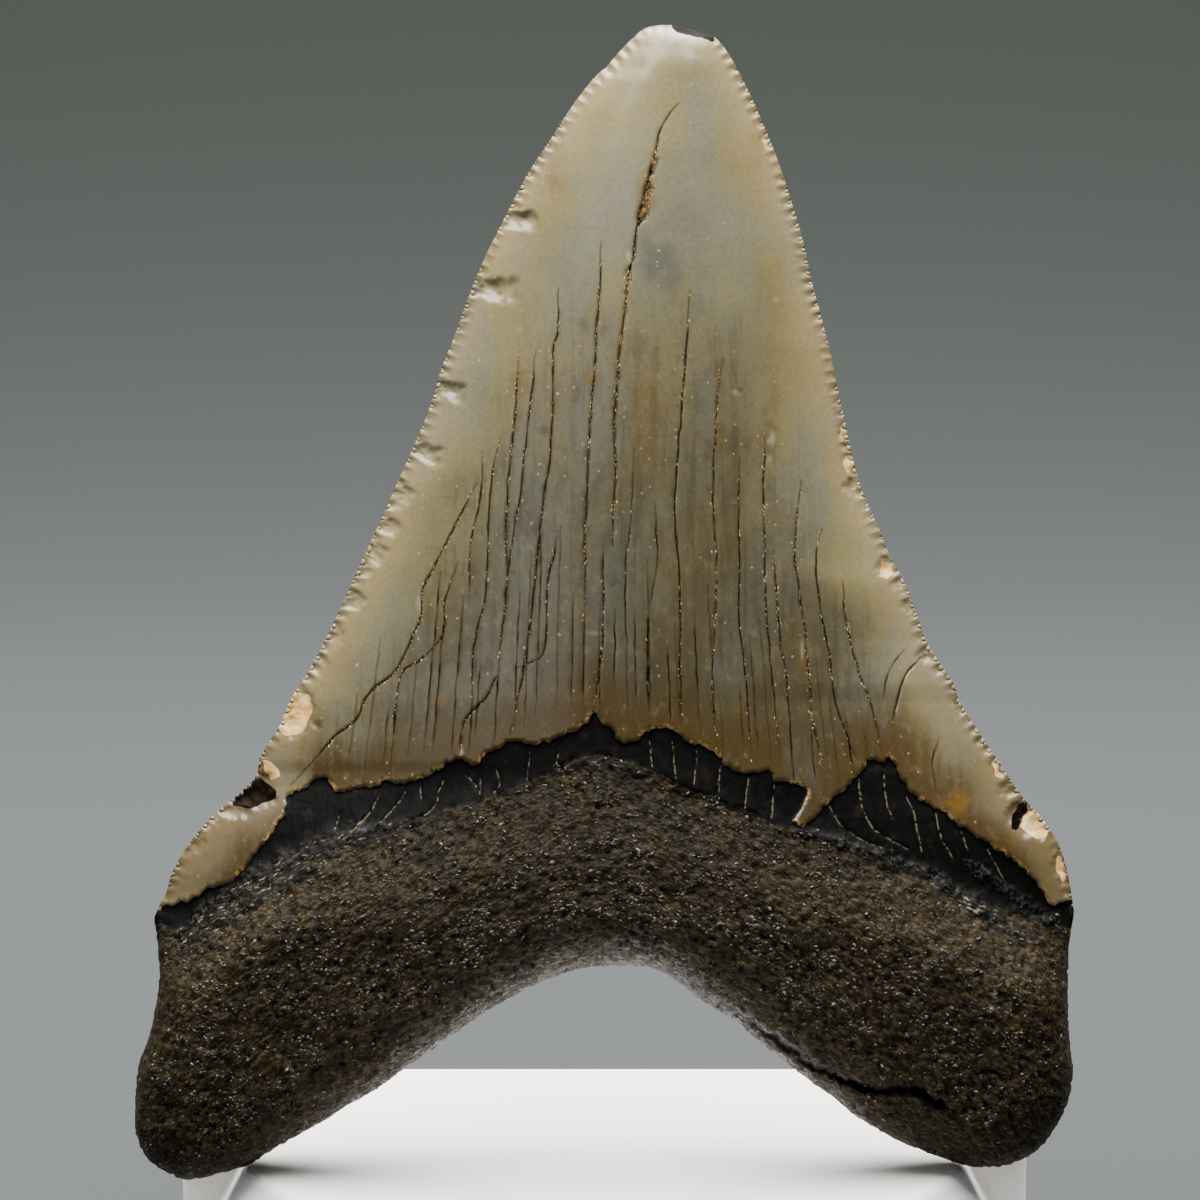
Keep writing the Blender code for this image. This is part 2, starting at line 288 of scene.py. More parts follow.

# %% [markdown]
# ## The outline
#
# A tooth like this could be sculpted, but its outline is what makes it this tooth, so the outline
# is read from the picture and made a smooth curve. Two chains of points run clockwise: the
# cutting edge from heel to heel over the tip, and the root round both lobes and under the arch.

# %% Read the outline
CUTTING_EDGE = [
    (154, 918), (160, 904), (166, 893), (172, 873), (184, 851), (197, 833), (213, 815), (232, 799),
    (247, 786), (257, 773), (259, 760), (267, 745), (280, 725), (291, 699), (309, 670), (327, 636),
    (344, 600), (361, 562), (380, 522), (398, 481), (415, 443), (430, 406), (441, 370), (455, 334),
    (470, 293), (485, 257), (504, 219), (527, 175), (550, 140), (570, 109), (592, 80), (606, 67),
    (619, 52), (633, 38), (646, 28), (667, 25), (690, 29), (712, 36), (723, 46), (733, 61),
    (749, 92), (764, 126), (777, 158), (791, 200), (803, 240), (812, 282), (820, 312), (829, 345),
    (837, 385), (846, 425), (854, 463), (864, 495), (878, 526), (892, 560), (905, 583), (917, 615),
    (926, 640), (938, 660), (954, 684), (960, 702), (979, 732), (1001, 765), (1023, 797), (1041, 817),
    (1057, 841), (1065, 862), (1070, 885), (1074, 910),
]
ROOT_EDGE = [
    (1074, 914), (1069, 945), (1068, 980), (1068, 1010), (1070, 1045), (1073, 1066), (1071, 1090),
    (1065, 1110), (1055, 1128), (1043, 1145), (1025, 1158), (1008, 1164), (990, 1167), (968, 1166),
    (947, 1160), (924, 1151), (901, 1142), (879, 1130), (856, 1116), (834, 1098), (812, 1082),
    (790, 1065), (767, 1047), (745, 1029), (723, 1014), (700, 999), (680, 983), (660, 971),
    (640, 966), (612, 966), (585, 968), (551, 978), (529, 988), (506, 1000), (484, 1013), (461, 1029),
    (439, 1045), (412, 1063), (390, 1079), (368, 1094), (345, 1107), (323, 1121), (301, 1134),
    (279, 1146), (261, 1157), (248, 1165), (232, 1170), (205, 1177), (189, 1180), (176, 1177),
    (158, 1167), (146, 1157), (138, 1140), (135, 1121), (136, 1085), (140, 1061), (148, 1040),
    (155, 1010), (159, 985), (159, 962), (157, 940), (154, 920),
]
EDGE_STEP = 2.0
ROOT_STEP = 3.4


def smooth_curve(points, step):
    """Points spaced evenly by about step on a Catmull-Rom curve through the given ones."""
    knots = np.array(points, float)
    knots = np.vstack([2 * knots[0] - knots[1], knots, 2 * knots[-1] - knots[-2]])
    dense = []
    for before, start, end, after in zip(knots[:-3], knots[1:-2], knots[2:-1], knots[3:]):
        for t in np.linspace(0, 1, 24, endpoint=False):
            square = (2 * before - 5 * start + 4 * end - after) * t**2
            cube = (3 * start - before - 3 * end + after) * t**3
            dense.append(start + 0.5 * ((end - before) * t + square + cube))
    dense = np.array(dense + [knots[-2]])
    along = np.concatenate([[0], np.cumsum(np.hypot(*np.diff(dense, axis=0).T))])
    even = np.linspace(0, along[-1], max(2, round(along[-1] / step)) + 1)
    return np.column_stack([np.interp(even, along, dense[:, axis]) for axis in (0, 1)])


def side_normals(points):
    """Unit normals to the right of a chain of points, which is into the tooth for its outline."""
    run = np.gradient(points, axis=0)
    run /= np.maximum(np.hypot(*run.T), 1e-9)[:, None]
    return np.column_stack([-run[:, 1], run[:, 0]])


cutting = smooth_curve(CUTTING_EDGE, EDGE_STEP)
rooting = smooth_curve(ROOT_EDGE, ROOT_STEP)
outline = np.vstack([cutting, rooting[1:-1]])
print(len(cutting), "points on the cutting edge,", len(rooting), "round the root")

# %% [markdown]
# ## Borders, cracks and chips
#
# The enamel ends in a ragged line over the black band, and long dry cracks run down the crown. All
# are drawn on the sheet as lines. The same lines then do three things: they cut the mesh, so that
# each border is a real edge, they shape its depth, and they choose its colours.

# %% Draw the borders
ENAMEL_BORDER = [
    (156, 909), (175, 904), (197, 898), (204, 889), (219, 887), (237, 875), (253, 858), (268, 838),
    (284, 815), (288, 796), (304, 788), (317, 779), (324, 777), (330, 786), (340, 793), (353, 789),
    (375, 786), (387, 782), (398, 784), (413, 782), (427, 777), (442, 768), (454, 760), (463, 759),
    (476, 766), (487, 754), (503, 745), (518, 741), (534, 745), (554, 738), (570, 732), (581, 728),
    (589, 721), (594, 712), (601, 723), (614, 732), (620, 741), (637, 740), (643, 732), (655, 729),
    (668, 728), (679, 734), (690, 743), (708, 747), (715, 754), (728, 767), (740, 772), (756, 772),
    (769, 771), (776, 781), (794, 783), (803, 786), (806, 796), (799, 810), (792, 820), (800, 826),
    (810, 821), (819, 813), (830, 799), (843, 792), (855, 778), (862, 768), (869, 760), (882, 762),
    (890, 758), (895, 765), (900, 775), (907, 790), (915, 797), (932, 805), (950, 817), (965, 829),
    (976, 834), (994, 848), (1014, 861), (1030, 877), (1043, 892), (1055, 904), (1072, 898),
]
ROOT_BORDER = [
    (156, 924), (186, 927), (219, 902), (253, 873), (286, 858), (309, 846), (326, 832), (349, 835),
    (380, 825), (409, 819), (436, 814), (458, 805), (492, 796), (514, 787), (536, 779), (559, 767),
    (581, 758), (601, 756), (625, 760), (648, 770), (670, 779), (692, 790), (715, 799), (728, 805),
    (760, 817), (790, 831), (825, 834), (857, 850), (888, 862), (910, 874), (928, 881), (960, 893),
    (990, 905), (1030, 917), (1060, 925), (1074, 930),
]
BACK_BORDER = [(150, 930), (330, 905), (470, 872), (604, 858), (740, 872), (880, 905), (1078, 925)]
ARCH_PARTING = [
    (640, 961), (660, 968), (680, 977), (700, 991), (725, 1009), (750, 1022), (765, 1034), (780, 1042),
    (797, 1054), (812, 1066), (825, 1071), (850, 1082), (880, 1090), (905, 1089), (920, 1092),
    (945, 1105),
]
# Rough fibrous ridges under the band, each with its half width.
FIBRES = [
    (9, [(176, 934), (200, 916), (224, 899), (257, 880), (299, 857), (337, 841), (378, 830), (420, 822)]),
    (6, [(168, 948), (190, 940), (215, 925), (245, 905), (290, 880), (330, 862)]),
    (5, [(793, 830), (834, 840), (883, 856), (923, 872), (960, 898), (984, 914), (1025, 938), (1062, 948)]),
    (7, [(925, 866), (945, 885), (965, 900), (985, 912), (1012, 926)]),
    (6, [(962, 858), (993, 878), (1021, 901), (1050, 924), (1068, 936)]),
    (3, [(560, 772), (590, 763), (620, 768), (650, 780)]),
]
RAGGED = 1.9
BORDER_STEP = 2.6


def ragged(points, step, amount, seed):
    """The curve through the points with small uneven steps to both sides."""
    line = smooth_curve(points, step)
    wander = [noise.noise(Vector((x / 9, y / 9, seed))) + 1.5 * noise.noise(Vector((x / 4, y / 4, seed))) for x, y in line]
    return line + side_normals(line) * (np.array(wander) * amount)[:, None]


enamel_border = ragged(ENAMEL_BORDER, BORDER_STEP, RAGGED, 1.5)
root_border = ragged(ROOT_BORDER, BORDER_STEP, RAGGED, 7.5)
arch_parting = ragged(ARCH_PARTING, BORDER_STEP, RAGGED, 3.5)

# %% Draw the cracks of the crown
# Each crack is its half width, how much tan mineral fills it, and its points from the top down.
CRACKS = [
    (2.2, 0.5, [(678, 103), (669, 115), (660, 130), (655, 151), (648, 178), (643, 201), (638, 220),
                (634, 251), (630, 268), (625, 303), (621, 341), (617, 389), (614, 418), (615, 467),
                (613, 515), (612, 545)]),
    (4.2, 1.0, [(655, 156), (653, 166), (650, 176)]),
    (5.4, 1.0, [(649, 181), (646, 192), (643, 206), (639, 226)]),
    (3.6, 1.0, [(632, 262), (628, 280), (625, 300)]),
    (1.4, 0.5, [(601, 242), (600, 284), (598, 313), (594, 370), (590, 427), (587, 486), (585, 528),
                (585, 588), (583, 622)]),
    (1.4, 0.3, [(558, 288), (558, 332), (554, 351), (552, 418), (549, 464), (543, 498), (535, 579),
                (526, 656), (518, 699), (511, 733)]),
    (1.4, 0.5, [(518, 357), (516, 403), (508, 487), (506, 530), (507, 579), (501, 639), (499, 673)]),
    (0.9, 0.3, [(536, 349), (532, 390), (524, 456), (519, 504), (512, 543), (506, 587)]),
    (0.9, 0.2, [(558, 532), (548, 584), (546, 639), (540, 658), (518, 667)]),
    (0.8, 0.2, [(482, 451), (480, 498), (471, 541), (469, 601)]),
    (0.9, 0.3, [(500, 437), (490, 494), (486, 588), (475, 639), (471, 707)]),
    (1.5, 0.3, [(690, 290), (686, 350), (682, 404), (675, 507), (680, 592), (680, 660), (682, 725)]),
    (1.2, 0.6, [(722, 360), (717, 404), (713, 502), (717, 579), (712, 678), (717, 750)]),
    (1.1, 0.3, [(740, 457), (738, 515), (739, 568), (739, 620), (745, 672), (752, 760)]),
    (1.2, 0.4, [(765, 432), (765, 457), (763, 482), (765, 559), (766, 610), (770, 654), (778, 740)]),
    (1.2, 0.4, [(773, 551), (776, 591), (780, 637), (786, 677), (792, 745)]),
    (1.4, 0.6, [(802, 480), (796, 524), (796, 572), (802, 610), (807, 652), (812, 710), (822, 770)]),
    (1.2, 0.3, [(821, 530), (816, 563), (821, 610), (829, 654), (834, 698), (848, 738), (858, 762)]),
    (1.3, 0.5, [(843, 582), (845, 620), (854, 654), (862, 680), (872, 710), (880, 745), (884, 758)]),
    (0.7, 0.1, [(635, 447), (629, 537), (625, 572), (627, 682)]),
    (0.8, 0.1, [(655, 502), (657, 562), (648, 622), (648, 699), (652, 722)]),
    (1.2, 0.4, [(603, 545), (603, 639), (598, 678), (594, 710)]),
    (1.3, 0.5, [(477, 483), (462, 511), (447, 541), (432, 571), (422, 592), (420, 618), (403, 656),
                (394, 673), (368, 695), (356, 720), (334, 737), (318, 756), (300, 775), (290, 785)]),
    (0.9, 0.2, [(458, 562), (445, 601), (443, 635), (420, 660), (400, 678), (392, 750)]),
    (1.2, 0.3, [(499, 673), (494, 682), (488, 695), (467, 718), (462, 731), (460, 752)]),
    (1.2, 0.0, [(930, 651), (918, 660), (907, 672), (900, 688), (895, 712), (893, 722)]),
    (0.6, 0.0, [(905, 650), (893, 664), (886, 680), (884, 700)]),
    (0.6, 0.0, [(938, 738), (932, 765), (936, 790)]),
]
# Pale cracks in the black band, each with its half width.
PALE_CRACKS = [
    (2.0, [(378, 798), (371, 810), (362, 822), (353, 830), (345, 840)]),
    (1.4, [(405, 792), (397, 805), (388, 815), (375, 829)]),
    (1.4, [(443, 782), (438, 795), (437, 803), (425, 815), (410, 821)]),
    (1.2, [(341, 812), (335, 828)]), (1.2, [(284, 803), (278, 820), (266, 840)]),
    (1.1, [(468, 776), (480, 792)]), (1.0, [(420, 784), (421, 798)]), (1.0, [(481, 779), (480, 801)]),
    (1.1, [(497, 770), (500, 783), (494, 792)]), (1.0, [(530, 752), (527, 778)]),
    (1.0, [(560, 744), (556, 764)]), (1.0, [(650, 742), (652, 766)]), (1.0, [(672, 742), (676, 778)]),
    (1.1, [(697, 752), (694, 784)]), (1.0, [(720, 768), (719, 798)]), (1.0, [(748, 778), (745, 808)]),
    (1.2, [(775, 786), (771, 817)]),
    (1.6, [(858, 781), (860, 800), (866, 815), (875, 830), (890, 840), (907, 849)]),
    (1.4, [(907, 797), (914, 815), (917, 830), (922, 850)]),
    (1.5, [(829, 806), (838, 822), (850, 833), (862, 840), (880, 848)]),
    (1.2, [(960, 829), (967, 850)]), (1.2, [(884, 770), (886, 800), (893, 818)]),
    (1.1, [(935, 812), (942, 840), (953, 858)]), (1.1, [(988, 850), (1004, 880)]),
]
CRACK_STEP = 3.0
CRACK_WANDER = 0.55
HAIRLINE_SEED = 12


def hairlines():
    """Many short upright cracks over the black band, as drying enamel has."""
    random = np.random.default_rng(HAIRLINE_SEED)
    found = []
    for across in np.arange(350, 880, 14.5):
        across += random.uniform(-5, 5)
        bottom = np.interp(across, *np.array(ROOT_BORDER, float).T) - random.uniform(44, 66)
        length = random.uniform(50, 190)
        lean = (across - 604) * 0.05
        top = (across - lean * length / 100, bottom - length)
        found.append((random.uniform(0.3, 0.8), 0.0, [top, (across, bottom)]))
    return found


def wandering(points, seed):
    """A crack's line, which never runs quite straight."""
    line = smooth_curve(points, CRACK_STEP)
    wander = [noise.noise(Vector((x / 14, y / 22, seed))) + 0.6 * noise.noise(Vector((x / 5, y / 7, seed))) for x, y in line]
    return line + side_normals(line) * (np.array(wander) * 2 * CRACK_WANDER)[:, None]


class Drawn:
    """Lines on the sheet, each point with its half width and its share of mineral."""

    def __init__(self, lines):
        self.lines = lines
        self.points = np.vstack([line for line, _, _ in lines])
        self.widths = np.concatenate([widths for _, widths, _ in lines])
        self.shares = np.concatenate([np.full(len(line), share) for line, _, share in lines])
        self.tree = kdtree.KDTree(len(self.points))
        for index, (x, y) in enumerate(self.points):
            self.tree.insert((x, y, 0), index)
        self.tree.balance()

    def near(self, places):
        """Distance of each place to the nearest drawn point, and that point's number."""
        found = [self.tree.find((x, y, 0)) for x, y in places]
        return np.array([hit[2] for hit in found]), np.array([hit[1] for hit in found])


def tapered(line, half_width):
    """Half widths along a crack, uneven and thin at both ends."""
    along = np.linspace(0, 1, len(line))
    ends = np.clip(np.minimum(along, 1 - along) * 7, 0.25, 1)
    uneven = [1 + 0.8 * noise.noise(Vector((x / 12, y / 12, 9.5))) for x, y in line]
    return half_width * ends * np.array(uneven)


def draw_cracks(cracks, seed):
    lines = []
    for number, (half_width, share, points) in enumerate(cracks):
        line = wandering(points, seed + number)
        lines.append((line, tapered(line, half_width), share))
    return Drawn(lines)


cracks = draw_cracks(CRACKS + hairlines(), 20.5)
fibres = draw_cracks([(width, 0.0, points) for width, points in FIBRES], 60.5)
pale_cracks = draw_cracks([(width, 0.0, points) for width, points in PALE_CRACKS], 90.5)
print(len(cracks.lines), "cracks in the crown and", len(pale_cracks.lines), "in the band")

# %% [markdown]
# ## Broken places
#
# Flakes have come off the cutting edges, and in the fresh hollows the paler dentine under the
# enamel shows. A flake leaves a scoop with a curved rim, so each one is a shallow bowl that also
# nibbles at the outline. Where dentine is bare, a closed line is cut into the mesh.

# %% Place the chips and the bare dentine
# Each chip is (across, down, half width, half height, depth).
FRESH_CHIPS = [
    (516, 220, 26, 8, 6), (530, 226, 14, 4, 3), (488, 288, 26, 11, 7), (505, 298, 14, 4, 3),
    (445, 390, 22, 8, 6), (457, 398, 10, 5, 3), (424, 453, 18, 10, 6), (436, 461, 10, 4, 3),
    (396, 494, 16, 11, 5), (386, 526, 14, 8, 4), (372, 553, 15, 12, 5), (364, 571, 9, 6, 4),
    (349, 601, 16, 11, 5), (331, 640, 12, 12, 3), (318, 664, 12, 10, 3), (236, 812, 18, 6, 4),
]
OLD_CHIPS = [
    (858, 482, 12, 12, 5), (850, 452, 7, 8, 4), (845, 432, 6, 7, 3), (886, 568, 10, 12, 4),
    (768, 141, 6, 9, 3), (256, 792, 24, 16, 8), (1018, 816, 12, 14, 7), (690, 32, 20, 4, 2),
    (300, 712, 17, 22, 4), (1036, 826, 14, 13, 4), (1061, 866, 7, 13, 4), (998, 768, 8, 9, 4),
    (927, 655, 11, 8, 4), (941, 668, 8, 7, 3), (983, 742, 8, 9, 3), (196, 846, 12, 9, 3),
    (1008, 790, 9, 8, 4), (962, 706, 8, 7, 3), (909, 606, 6, 8, 3), (897, 585, 6, 7, 3),
]
# Each bare patch is its finish and its outline.
BARE_PATCHES = [
    ("dentine", [(289, 697), (297, 691), (308, 696), (313, 708), (309, 720), (303, 730), (292, 736),
                 (281, 733), (279, 722), (286, 713)]),
    ("dentine", [(262, 760), (270, 762), (279, 769), (280, 776), (272, 779), (265, 772)]),
    ("dentine", [(1021, 826), (1026, 812), (1037, 814), (1047, 826), (1045, 837), (1034, 838)]),
    ("dentine", [(1057, 856), (1063, 860), (1067, 874), (1063, 881), (1056, 868)]),
    ("dentine", [(841, 427), (847, 431), (847, 438), (840, 437)]),
    ("dentine", [(845, 455), (852, 457), (854, 467), (848, 472), (843, 464)]),
    ("dentine", [(882, 560), (890, 564), (893, 574), (886, 579), (880, 570)]),
    ("dentine", [(992, 762), (1000, 766), (1003, 776), (996, 776)]),
    ("dentine", [(764, 134), (769, 139), (769, 149), (763, 145)]),
    ("notch", [(257, 768), (262, 779), (272, 786), (277, 793), (272, 800), (260, 805), (248, 809),
               (236, 806), (233, 800), (250, 786), (256, 777)]),
    ("notch", [(1011, 829), (1012, 818), (1020, 804), (1028, 803), (1026, 812), (1021, 821), (1016, 830)]),
    ("notch", [(668, 20), (690, 24), (711, 32), (713, 41), (701, 38), (685, 34), (673, 29)]),
]
PATCH_STEP = 2.4
# Each stain is (across, down, half width, half height, strength).
STAINS = {
    "blue": [
        (660, 262, 34, 40, 0.9), (690, 222, 34, 34, 0.6), (602, 330, 22, 26, 0.6), (560, 250, 30, 40, 0.3),
        (812, 560, 30, 90, 0.5), (520, 480, 26, 60, 0.3), (596, 606, 12, 44, 0.8), (740, 640, 30, 40, 0.3),
        (640, 480, 12, 60, 0.4), (770, 300, 24, 70, 0.4), (430, 640, 26, 40, 0.3), (700, 150, 24, 30, 0.3),
    ],
    "ochre": [
        (626, 286, 9, 16, 0.9), (645, 196, 11, 44, 0.7), (590, 378, 10, 12, 0.9), (616, 350, 20, 60, 0.3), (518, 382, 9, 30, 0.45),
        (560, 420, 16, 60, 0.4), (646, 420, 20, 90, 0.2), (738, 714, 9, 8, 1.0), (443, 700, 7, 9, 0.8),
        (958, 800, 17, 15, 1.0), (1010, 846, 10, 6, 0.9), (552, 170, 18, 44, 0.5), (720, 420, 9, 60, 0.35),
        (757, 130, 14, 50, 0.4), (668, 560, 30, 90, 0.2), (802, 640, 12, 60, 0.3), (700, 270, 14, 14, 0.4),
    ],
    "dark": [
        (652, 166, 5, 9, 1.0), (646, 196, 6, 16, 0.7), (544, 430, 6, 6, 0.7), (536, 530, 4, 6, 0.7),
        (587, 530, 4, 6, 0.7), (583, 324, 8, 8, 0.5), (604, 576, 4, 5, 0.7), (740, 390, 3, 3, 0.9),
        (618, 376, 4, 10, 0.7), (586, 560, 3, 8, 0.6), (800, 600, 3, 7, 0.7), (412, 640, 4, 8, 0.5),
    ],
    "white": [
        (461, 752, 2, 4, 0.9), (772, 438, 3, 8, 0.9), (769, 460, 3, 5, 0.7), (594, 633, 11, 3, 0.35),
        (676, 60, 30, 14, 0.3), (519, 329, 4, 5, 0.6), (735, 392, 5, 3, 0.5),
        (629, 256, 3, 6, 0.8), (802, 652, 3, 14, 0.6), (420, 604, 4, 12, 0.6), (776, 300, 3, 3, 0.6),
    ],
}
FINE_STAIN = 14.0
FINE_STAIN_SPACING = 2.0


def patch_loop(points, number):
    loop = smooth_curve(points + [points[0]], PATCH_STEP)[:-1]
    wander = [noise.noise(Vector((x / 5, y / 5, number + 0.5))) for x, y in loop]
    return loop + side_normals(loop) * (np.array(wander) * RAGGED)[:, None]


def stain_points():
    """Close points over the small stains, so that the mesh can carry them."""
    small = [spot for spots in STAINS.values() for spot in spots if min(spot[2], spot[3]) < FINE_STAIN]
    found = []
    for across, down, half_width, half_height, _ in small:
        columns = np.arange(-half_width, half_width, FINE_STAIN_SPACING)
        rows = np.arange(-half_height, half_height, FINE_STAIN_SPACING)
        x, y = (axis.ravel() for axis in np.meshgrid(columns, rows))
        inside = np.hypot(x / half_width, y / half_height) < 1
        found.append(np.column_stack([across + x, down + y])[inside])
    return np.vstack(found)


patches = [(finish, patch_loop(points, number)) for number, (finish, points) in enumerate(BARE_PATCHES)]
print(len(FRESH_CHIPS + OLD_CHIPS), "chips and", len(patches), "bare patches")

# %% [markdown]
# ## A mesh that follows the drawing
#
# A plain grid would blur every border. A Delaunay triangulation takes points of any spacing and
# keeps given lines as edges, so points lie close together along cracks, borders and the cutting
# edge and far apart on smooth enamel. Both faces share the outline, which closes the mesh.

# %% Spread the points
FRONT, BACK = 1, -1
FEATURE_GAP = 1.1
NEAR_SPACING = 3.0
NEAR_REACH = 12.0
SPACINGS = {FRONT: (5.2, 3.1), BACK: (11.0, 7.0)}
EDGE_ROWS = (2.2, 4.6, 7.6, 11.5, 16.5)
RIM_CLEARANCE = 2.0
STEP_WIDTH = 1.3

outline_tree = kdtree.KDTree(len(outline))
for index, (x, y) in enumerate(outline):
    outline_tree.insert((x, y, 0), index)
outline_tree.balance()
closed_outline = np.vstack([outline, outline[:1]])
outline_inward = side_normals(closed_outline)[:-1]


def rim_distance(points):
    """Distance into the tooth from its outline, below 0 outside, and the nearest outline point."""
    found = [outline_tree.find((x, y, 0)) for x, y in points]
    numbers = np.array([hit[1] for hit in found])
    distance = np.array([hit[2] for hit in found])
    inwards = ((points - outline[numbers]) * outline_inward[numbers]).sum(axis=1)
    return np.where(inwards >= 0, distance, -distance), numbers


def within(points, loop, batch=4000):
    """Whether each point is inside a closed loop, by counting the sides that a level line crosses."""
    start, end = loop, np.roll(loop, -1, axis=0)
    drop = np.where(start[:, 1] == end[:, 1], 1, end[:, 1] - start[:, 1])
    answers = []
    for first in range(0, len(points), batch):
        across, down = points[first:first + batch, :1], points[first:first + batch, 1:]
        crosses = (start[:, 1] > down) != (end[:, 1] > down)
        at = start[:, 0] + (down - start[:, 1]) / drop * (end[:, 0] - start[:, 0])
        answers.append((crosses & (across < at)).sum(axis=1) % 2 == 1)
    return np.concatenate(answers)


def drawn_lines(side):
    """The lines that the triangles of one face must follow."""
    if side == BACK:
        return [smooth_curve(BACK_BORDER, BORDER_STEP)]
    lines = [enamel_border, enamel_border + side_normals(enamel_border) * -STEP_WIDTH, root_border]
    lines += [arch_parting] + [np.vstack([loop, loop[:1]]) for _, loop in patches]
    return lines + [line for line, _, _ in cracks.lines + pale_cracks.lines]


def crack_banks(drawn):
    """Points along both lips of each crack and a little outside them."""
    found = []
    for line, widths, _ in drawn.lines:
        normals = side_normals(line)
        for share in (-1.9, -1, 1, 1.9):
            found.append(line + normals * (share * np.maximum(widths, 0.9))[:, None])
    return found


def edge_rows():
    inward = side_normals(cutting)
    return [(cutting + inward * inset)[4:-4] for inset in EDGE_ROWS]


def thinned(points, taken, gaps):
    """The points that keep their gap from those taken already and from each other, in order."""
    size = float(np.max(gaps))
    cells = {}
    for x, y in taken:
        cells.setdefault((x // size, y // size), []).append((x, y))
    kept = []
    for (x, y), gap in zip(points.tolist(), gaps):
        column, row = x // size, y // size
        near = [(column + i, row + j) for i in (-1, 0, 1) for j in (-1, 0, 1)]
        if all(math.dist((x, y), other) >= gap for cell in near for other in cells.get(cell, ())):
            cells.setdefault((column, row), []).append((x, y))
            kept.append((x, y))
    return np.array(kept)


def grid(spacing, seed):
    """An even, slightly shaken grid over the whole sheet."""
    rows = []
    for row, down in enumerate(np.arange(20, 1185, spacing * math.sin(math.pi / 3))):
        across = np.arange(130 + row % 2 * spacing / 2, 1080, spacing)
        rows.append(np.column_stack([across, np.full(len(across), down)]))
    points = np.vstack(rows)
    shake = np.random.default_rng(seed).uniform(-0.16, 0.16, points.shape) * spacing
    return points + shake


def triangulate(side):
    """The points of one face on the sheet, its triangles, and each point's outline number or -1."""
    crown_spacing, root_spacing = SPACINGS[side]
    fixed, edges = [outline], [(i, (i + 1) % len(outline)) for i in range(len(outline))]
    count = len(outline)
    for line in drawn_lines(side):
        keep = rim_distance(line)[0] > RIM_CLEARANCE
        numbers = np.cumsum(keep) - 1 + count
        fixed.append(line[keep])
        edges += [(numbers[i], numbers[i + 1]) for i in range(len(line) - 1) if keep[i] and keep[i + 1]]
        count += keep.sum()
    fixed = np.vstack(fixed)
    features = edge_rows()
    if side == FRONT:
        features += crack_banks(cracks) + crack_banks(pale_cracks) + [stain_points()]
    features = np.vstack(features)
    features = features[rim_distance(features)[0] > RIM_CLEARANCE * 0.7]
    features = thinned(features, fixed, np.full(len(features), FEATURE_GAP))
    borders = np.array(ROOT_BORDER if side == FRONT else BACK_BORDER, float)
    taken = np.vstack([fixed, features])
    near_tree = kdtree.KDTree(len(taken))
    for number, (x, y) in enumerate(taken):
        near_tree.insert((x, y, 0), number)
    near_tree.balance()
    for spacing, reach in ((NEAR_SPACING, NEAR_REACH), (root_spacing, None), (crown_spacing, None)):
        points = grid(spacing, 5)
        rim = rim_distance(points)[0]
        points = points[rim > RIM_CLEARANCE]
        if reach is not None:
            distance = np.array([near_tree.find((x, y, 0))[2] for x, y in points])
            points = points[distance < reach] if side == FRONT else points[:0]
        elif spacing == root_spacing:
            points = points[points[:, 1] > np.interp(points[:, 0], *borders.T) - 6]
        else:
            points = points[points[:, 1] < np.interp(points[:, 0], *borders.T) + 6]
        if len(points):
            taken = np.vstack([taken, thinned(points, taken, np.full(len(points), spacing * 0.72))])
    made = delaunay_2d_cdt([Vector(point) for point in taken.tolist()], edges, [], 1, 1e-5)
    flat = np.array([tuple(point) for point in made[0]])
    rim_number = np.array([min(source) if source and min(source) < len(outline) else -1 for source in made[3]])
    return flat, np.array([tuple(face) for face in made[2]]), rim_number


faces_of_tooth = {side: triangulate(side) for side in (FRONT, BACK)}
print("triangles:", {side: len(made[1]) for side, made in faces_of_tooth.items()})

# %% [markdown]
# ## How far each face stands off the sheet
#
# The crown is a lens in section: thin at the serrated edges and thick in the middle. The root is
# rounded all round, and swells out below the band. These large forms are formulas, the same ones
# that made the solids. The drawn lines add what the solids leave out: the enamel's broken ledge,
# the cracks, the parting in the root and the scoops.

# %% Work out the depths
CROWN_FRONT = [
    (25, 17), (60, 27), (150, 41), (300, 58), (450, 72), (600, 85), (740, 97), (850, 105), (1180, 110),
]
CROWN_BACK = [(25, 12), (150, 23), (300, 31), (450, 38), (600, 44), (740, 50), (1180, 60)]
ROOT_FRONT = [(740, 104), (850, 120), (930, 130), (1010, 126), (1100, 108), (1180, 90)]
ROOT_BACK = [(740, 56), (850, 67), (950, 76), (1050, 78), (1180, 70)]
BOSS = (600, 890, 220, 90, 12)
ROOT_EDGE_ROUNDING = 58.0
ROOT_SWELL_RUN = 110.0
BACK_SWELL_RUN = 40.0
LOBE_THINNING = 0.42
ENAMEL_LEDGE = 3.4
PARTING_SETBACK = 11.0
PARTING_DEPTH = 14.0
PARTING_HALF_WIDTH = 3.2
PARTING_FADE = [(632, 0), (692, 1), (925, 1), (985, 0)]
TIP_BACKWARD_BEND = 13.0
CRACK_DEPTH = 2.4
FIBRE_HEIGHT = 2.6
THINNEST = 0.6


def read_off(pairs, at):
    """The second value of the pairs where the first is at, between them along a straight line."""
    return np.interp(at, *np.array(pairs, float).T)


def smoothstep(value):
    value = np.clip(value, 0, 1)
    return value * value * (3 - 2 * value)


def lumps(across, down, size, height, seed, stretch=1.0):
    """Smooth lumps and hollows, longer down the sheet where stretch is above 1."""
    spots = zip(across / size, down / (size * stretch))
    return height * np.array([noise.noise(Vector((x, y, seed))) for x, y in spots])


def side_lines():
    """The left and the right side of the outline, each ordered from the tip downwards."""
    edge, root = np.array(CUTTING_EDGE, float), np.array(ROOT_EDGE, float)
    tip = edge[:, 1].argmin()
    right_lobe = root[: len(root) // 2, 1].argmax()
    left_lobe = root[:, 1].argmax()
    left = np.vstack([edge[tip::-1], root[:left_lobe:-1]])
    right = np.vstack([edge[tip:], root[1:right_lobe]])
    return [side[np.argsort(side[:, 1])][:, ::-1] for side in (left, right)]


